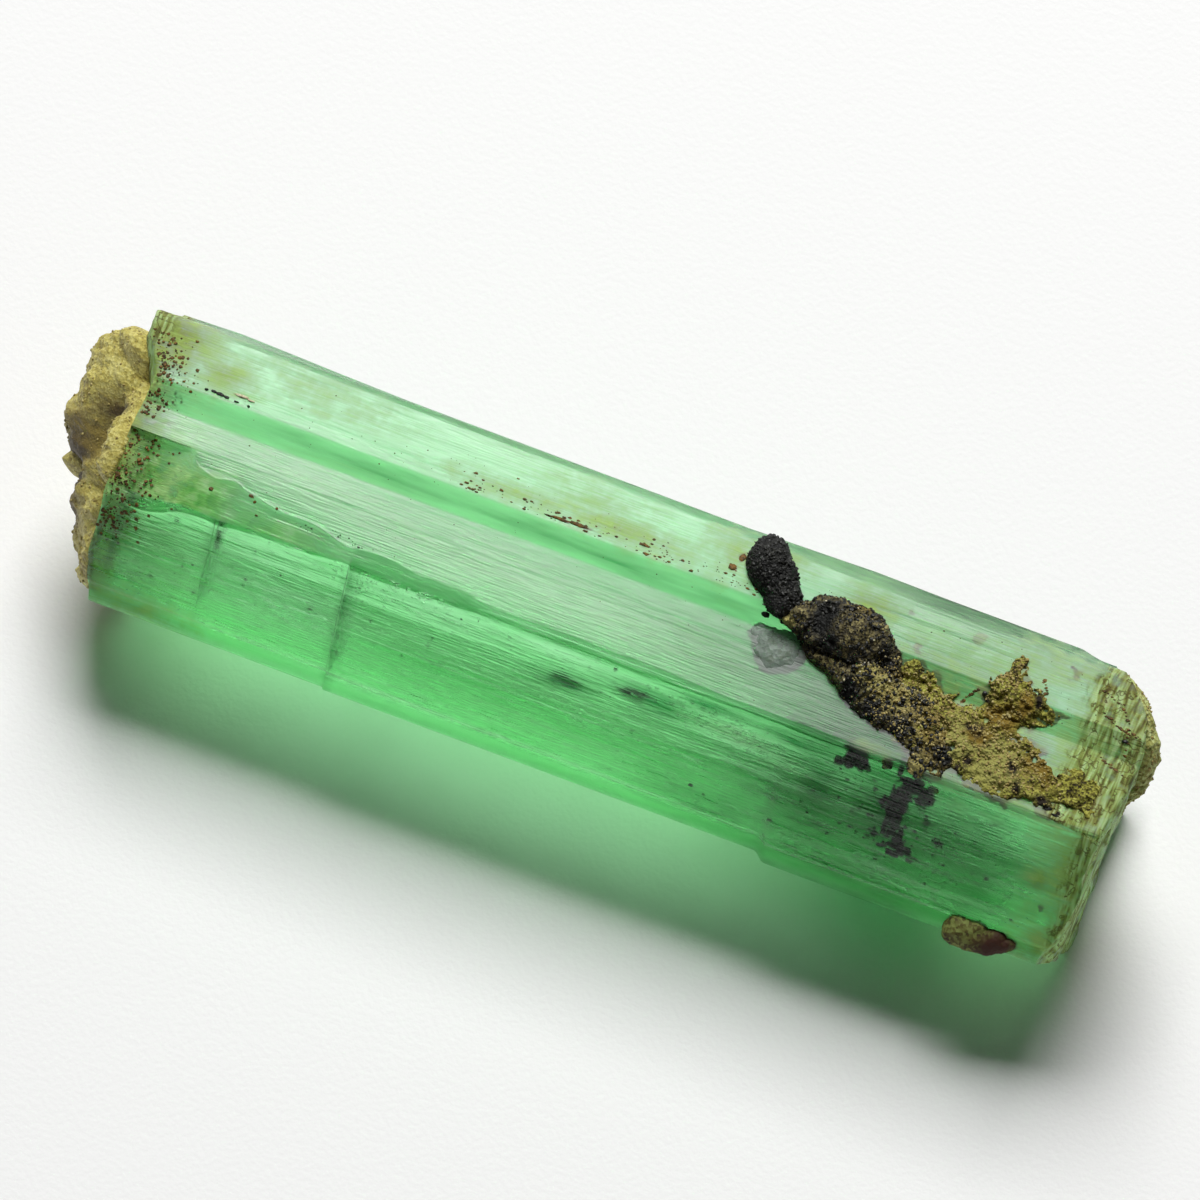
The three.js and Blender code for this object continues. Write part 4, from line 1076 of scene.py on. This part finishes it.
def specks():
    look, chance = skinSpecks, np.random.default_rng(31)

    def drawSpecks(kind, material, places, sizes, seed):
        # the placed specks of a kind, 0.02 mm thick or a little less, and then the scattered ones
        fixed = np.array(look[kind])
        point, normal = onSkin(np.concatenate([fixed[:, :2]] + places))
        own = np.column_stack([fixed[:, 2:], np.full(len(fixed), look["thick"][kind])])
        grainMesh(look["names"][kind], material, point, normal, np.concatenate([own] + sizes), seed,
                  tilt=0.05, turned=False)

    def spread(key, power, seed, shape):
        count, low, high = look[key]
        return scatter(low, high, count, power, seed) * shape

    edgeCount, endCount, looseCount, mossCount = [look[key][0] for key in ("edge", "end", "loose", "moss")]
    edgeX = chance.uniform(*look["edgeX"], edgeCount)
    edge = np.stack([edgeX, look["edgeS"] + np.abs(chance.normal(size=edgeCount)) * look["edgeWide"]], -1)
    endS = chance.uniform(*look["endS"], endCount)
    endX = leftFace(np.interp(endS, pathS, pathY), np.interp(endS, pathS, pathZ)) + look["endIn"]
    end = np.stack([endX + np.abs(chance.normal(size=endCount)) * look["endWide"], endS], -1)
    loose = chance.uniform(look["looseFrom"], look["looseTo"], (looseCount, 2))
    lines = []
    for path in look["cracks"]:
        path = np.array(path)
        t = np.linspace(0, len(path) - 1, look["crackSteps"])
        lines.append(np.stack([np.interp(t, np.arange(len(path)), path[:, c]) for c in (0, 1)], -1))
    lines = np.concatenate(lines)
    lines += chance.normal(size=lines.shape) * look["crackWide"]
    drawSpecks("rust", rustGrit, [edge, end, loose, lines],
               [spread("edge", 2.2, 32, [1.6, 0.9, 0.4]), spread("end", 2.2, 33, [1.0, 1.0, 0.4]),
                spread("loose", 2.0, 34, [1.2, 0.9, 0.4]),
                scatter(*look["crackSize"], len(lines), 1.0, 35) * [1.3, 0.8, 0.35]], 36)
    moss = [chance.normal(size=mossCount) * look["mossWide"][axis] + look["mossAt"][axis] for axis in (0, 1)]
    moss = np.stack(moss, -1)
    drawSpecks("black", blackMica, [moss], [spread("moss", 2.0, 37, [1.2, 0.9, 0.4])], 38)
    drawSpecks("white", whiteGrit, [], [], 39)


innerPieces()
basalFilms()
specks()


# Floor, light and camera
studio = dict(
    floorHalf=600.0, paper="#f6f6f5",
    photoWidth=1200.0, pixelsPerMm=55.0,
    azimuth=22.5, elevation=63.3, distance=250.0, sensor=36.0,
    ridgePoint=(0.5, -1.494, 5.175), ridgePixel=(600.0, 651.0),   # this point shows at this pixel
    boxTilt=34.0, boxTurn=9.0, boxDistance=450.0, boxSize=230.0, boxPower=2.5, fill=0.05,
)


def buildFloor():
    h = studio["floorHalf"]
    corners = np.array([[-h, -h, -0.01], [h, -h, -0.01], [h, h, -0.01], [-h, h, -0.01]])
    floor = makePiece("paper_floor", corners, np.array([[0, 1, 2, 3]]), smooth=False)
    material, tree = newMaterial("uncoatedPaper")
    place = addNode(tree, "TexCoord").outputs["Object"]
    fibre = addNode(tree, "TexNoise", Vector=place, Scale=9000.0, Detail=2.0)
    bump = addNode(tree, "Bump", Height=fibre, Strength=0.25, Distance=0.03 * mm)
    shader = addNode(tree, "BsdfPrincipled", Base_Color=toLinear(studio["paper"]), Roughness=0.95,
                     Specular_IOR_Level=0.2, Normal=bump)
    addNode(tree, "OutputMaterial", Surface=shader)
    floor.data.materials.append(material)


def buildCamera():
    a, e = math.radians(studio["azimuth"]), math.radians(studio["elevation"])
    right = Vector((math.cos(a), math.sin(a), 0))
    up = Vector((-math.sin(a) * math.sin(e), math.cos(a) * math.sin(e), math.cos(e)))
    forward = Vector((-math.sin(a) * math.cos(e), math.cos(a) * math.cos(e), -math.sin(e)))
    half, perMm = studio["photoWidth"] / 2, studio["pixelsPerMm"]
    offX, offY = studio["ridgePixel"][0] - half, studio["ridgePixel"][1] - half
    aim = Vector(studio["ridgePoint"]) - right * (offX / perMm) + up * (offY / perMm)
    data = bpy.data.cameras.new("camera")
    data.sensor_width = studio["sensor"]
    data.lens = studio["sensor"] * studio["distance"] * perMm / studio["photoWidth"]
    data.clip_start = 0.01
    camera = bpy.data.objects.new("camera", data)
    camera.location = (aim - forward * studio["distance"]) * mm
    camera.rotation_euler = forward.to_track_quat("-Z", "Y").to_euler()
    bpy.context.scene.collection.objects.link(camera)
    bpy.context.scene.camera = camera
    return a


def buildLight(cameraAzimuth):
    tilt, heading = math.radians(studio["boxTilt"]), cameraAzimuth - math.radians(studio["boxTurn"])
    toBox = Vector((-math.sin(heading) * math.sin(tilt), math.cos(heading) * math.sin(tilt), math.cos(tilt)))
    data = bpy.data.lights.new("softbox", "AREA")
    data.shape = "SQUARE"
    data.size = studio["boxSize"] * mm
    data.energy = studio["boxPower"]
    box = bpy.data.objects.new("softbox", data)
    box.location = toBox * studio["boxDistance"] * mm
    box.rotation_euler = (-toBox).to_track_quat("-Z", "Y").to_euler()
    bpy.context.scene.collection.objects.link(box)
    world = bpy.data.worlds.new("studio")
    world.use_nodes = True
    sky = world.node_tree.nodes["Background"]
    sky.inputs[0].default_value = (1, 1, 1, 1)
    sky.inputs[1].default_value = studio["fill"]
    bpy.context.scene.world = world


buildFloor()
buildLight(buildCamera())
scene = bpy.context.scene
scene.view_settings.view_transform = "Standard"
scene.cycles.use_denoising = True
scene.cycles.sample_clamp_indirect = 60.0   # the softbox shines through the crystal undimmed
scene.cycles.max_bounces = 8
scene.cycles.transmission_bounces = 8
scene.cycles.glossy_bounces = 3
scene.cycles.diffuse_bounces = 2
print("studio ready")
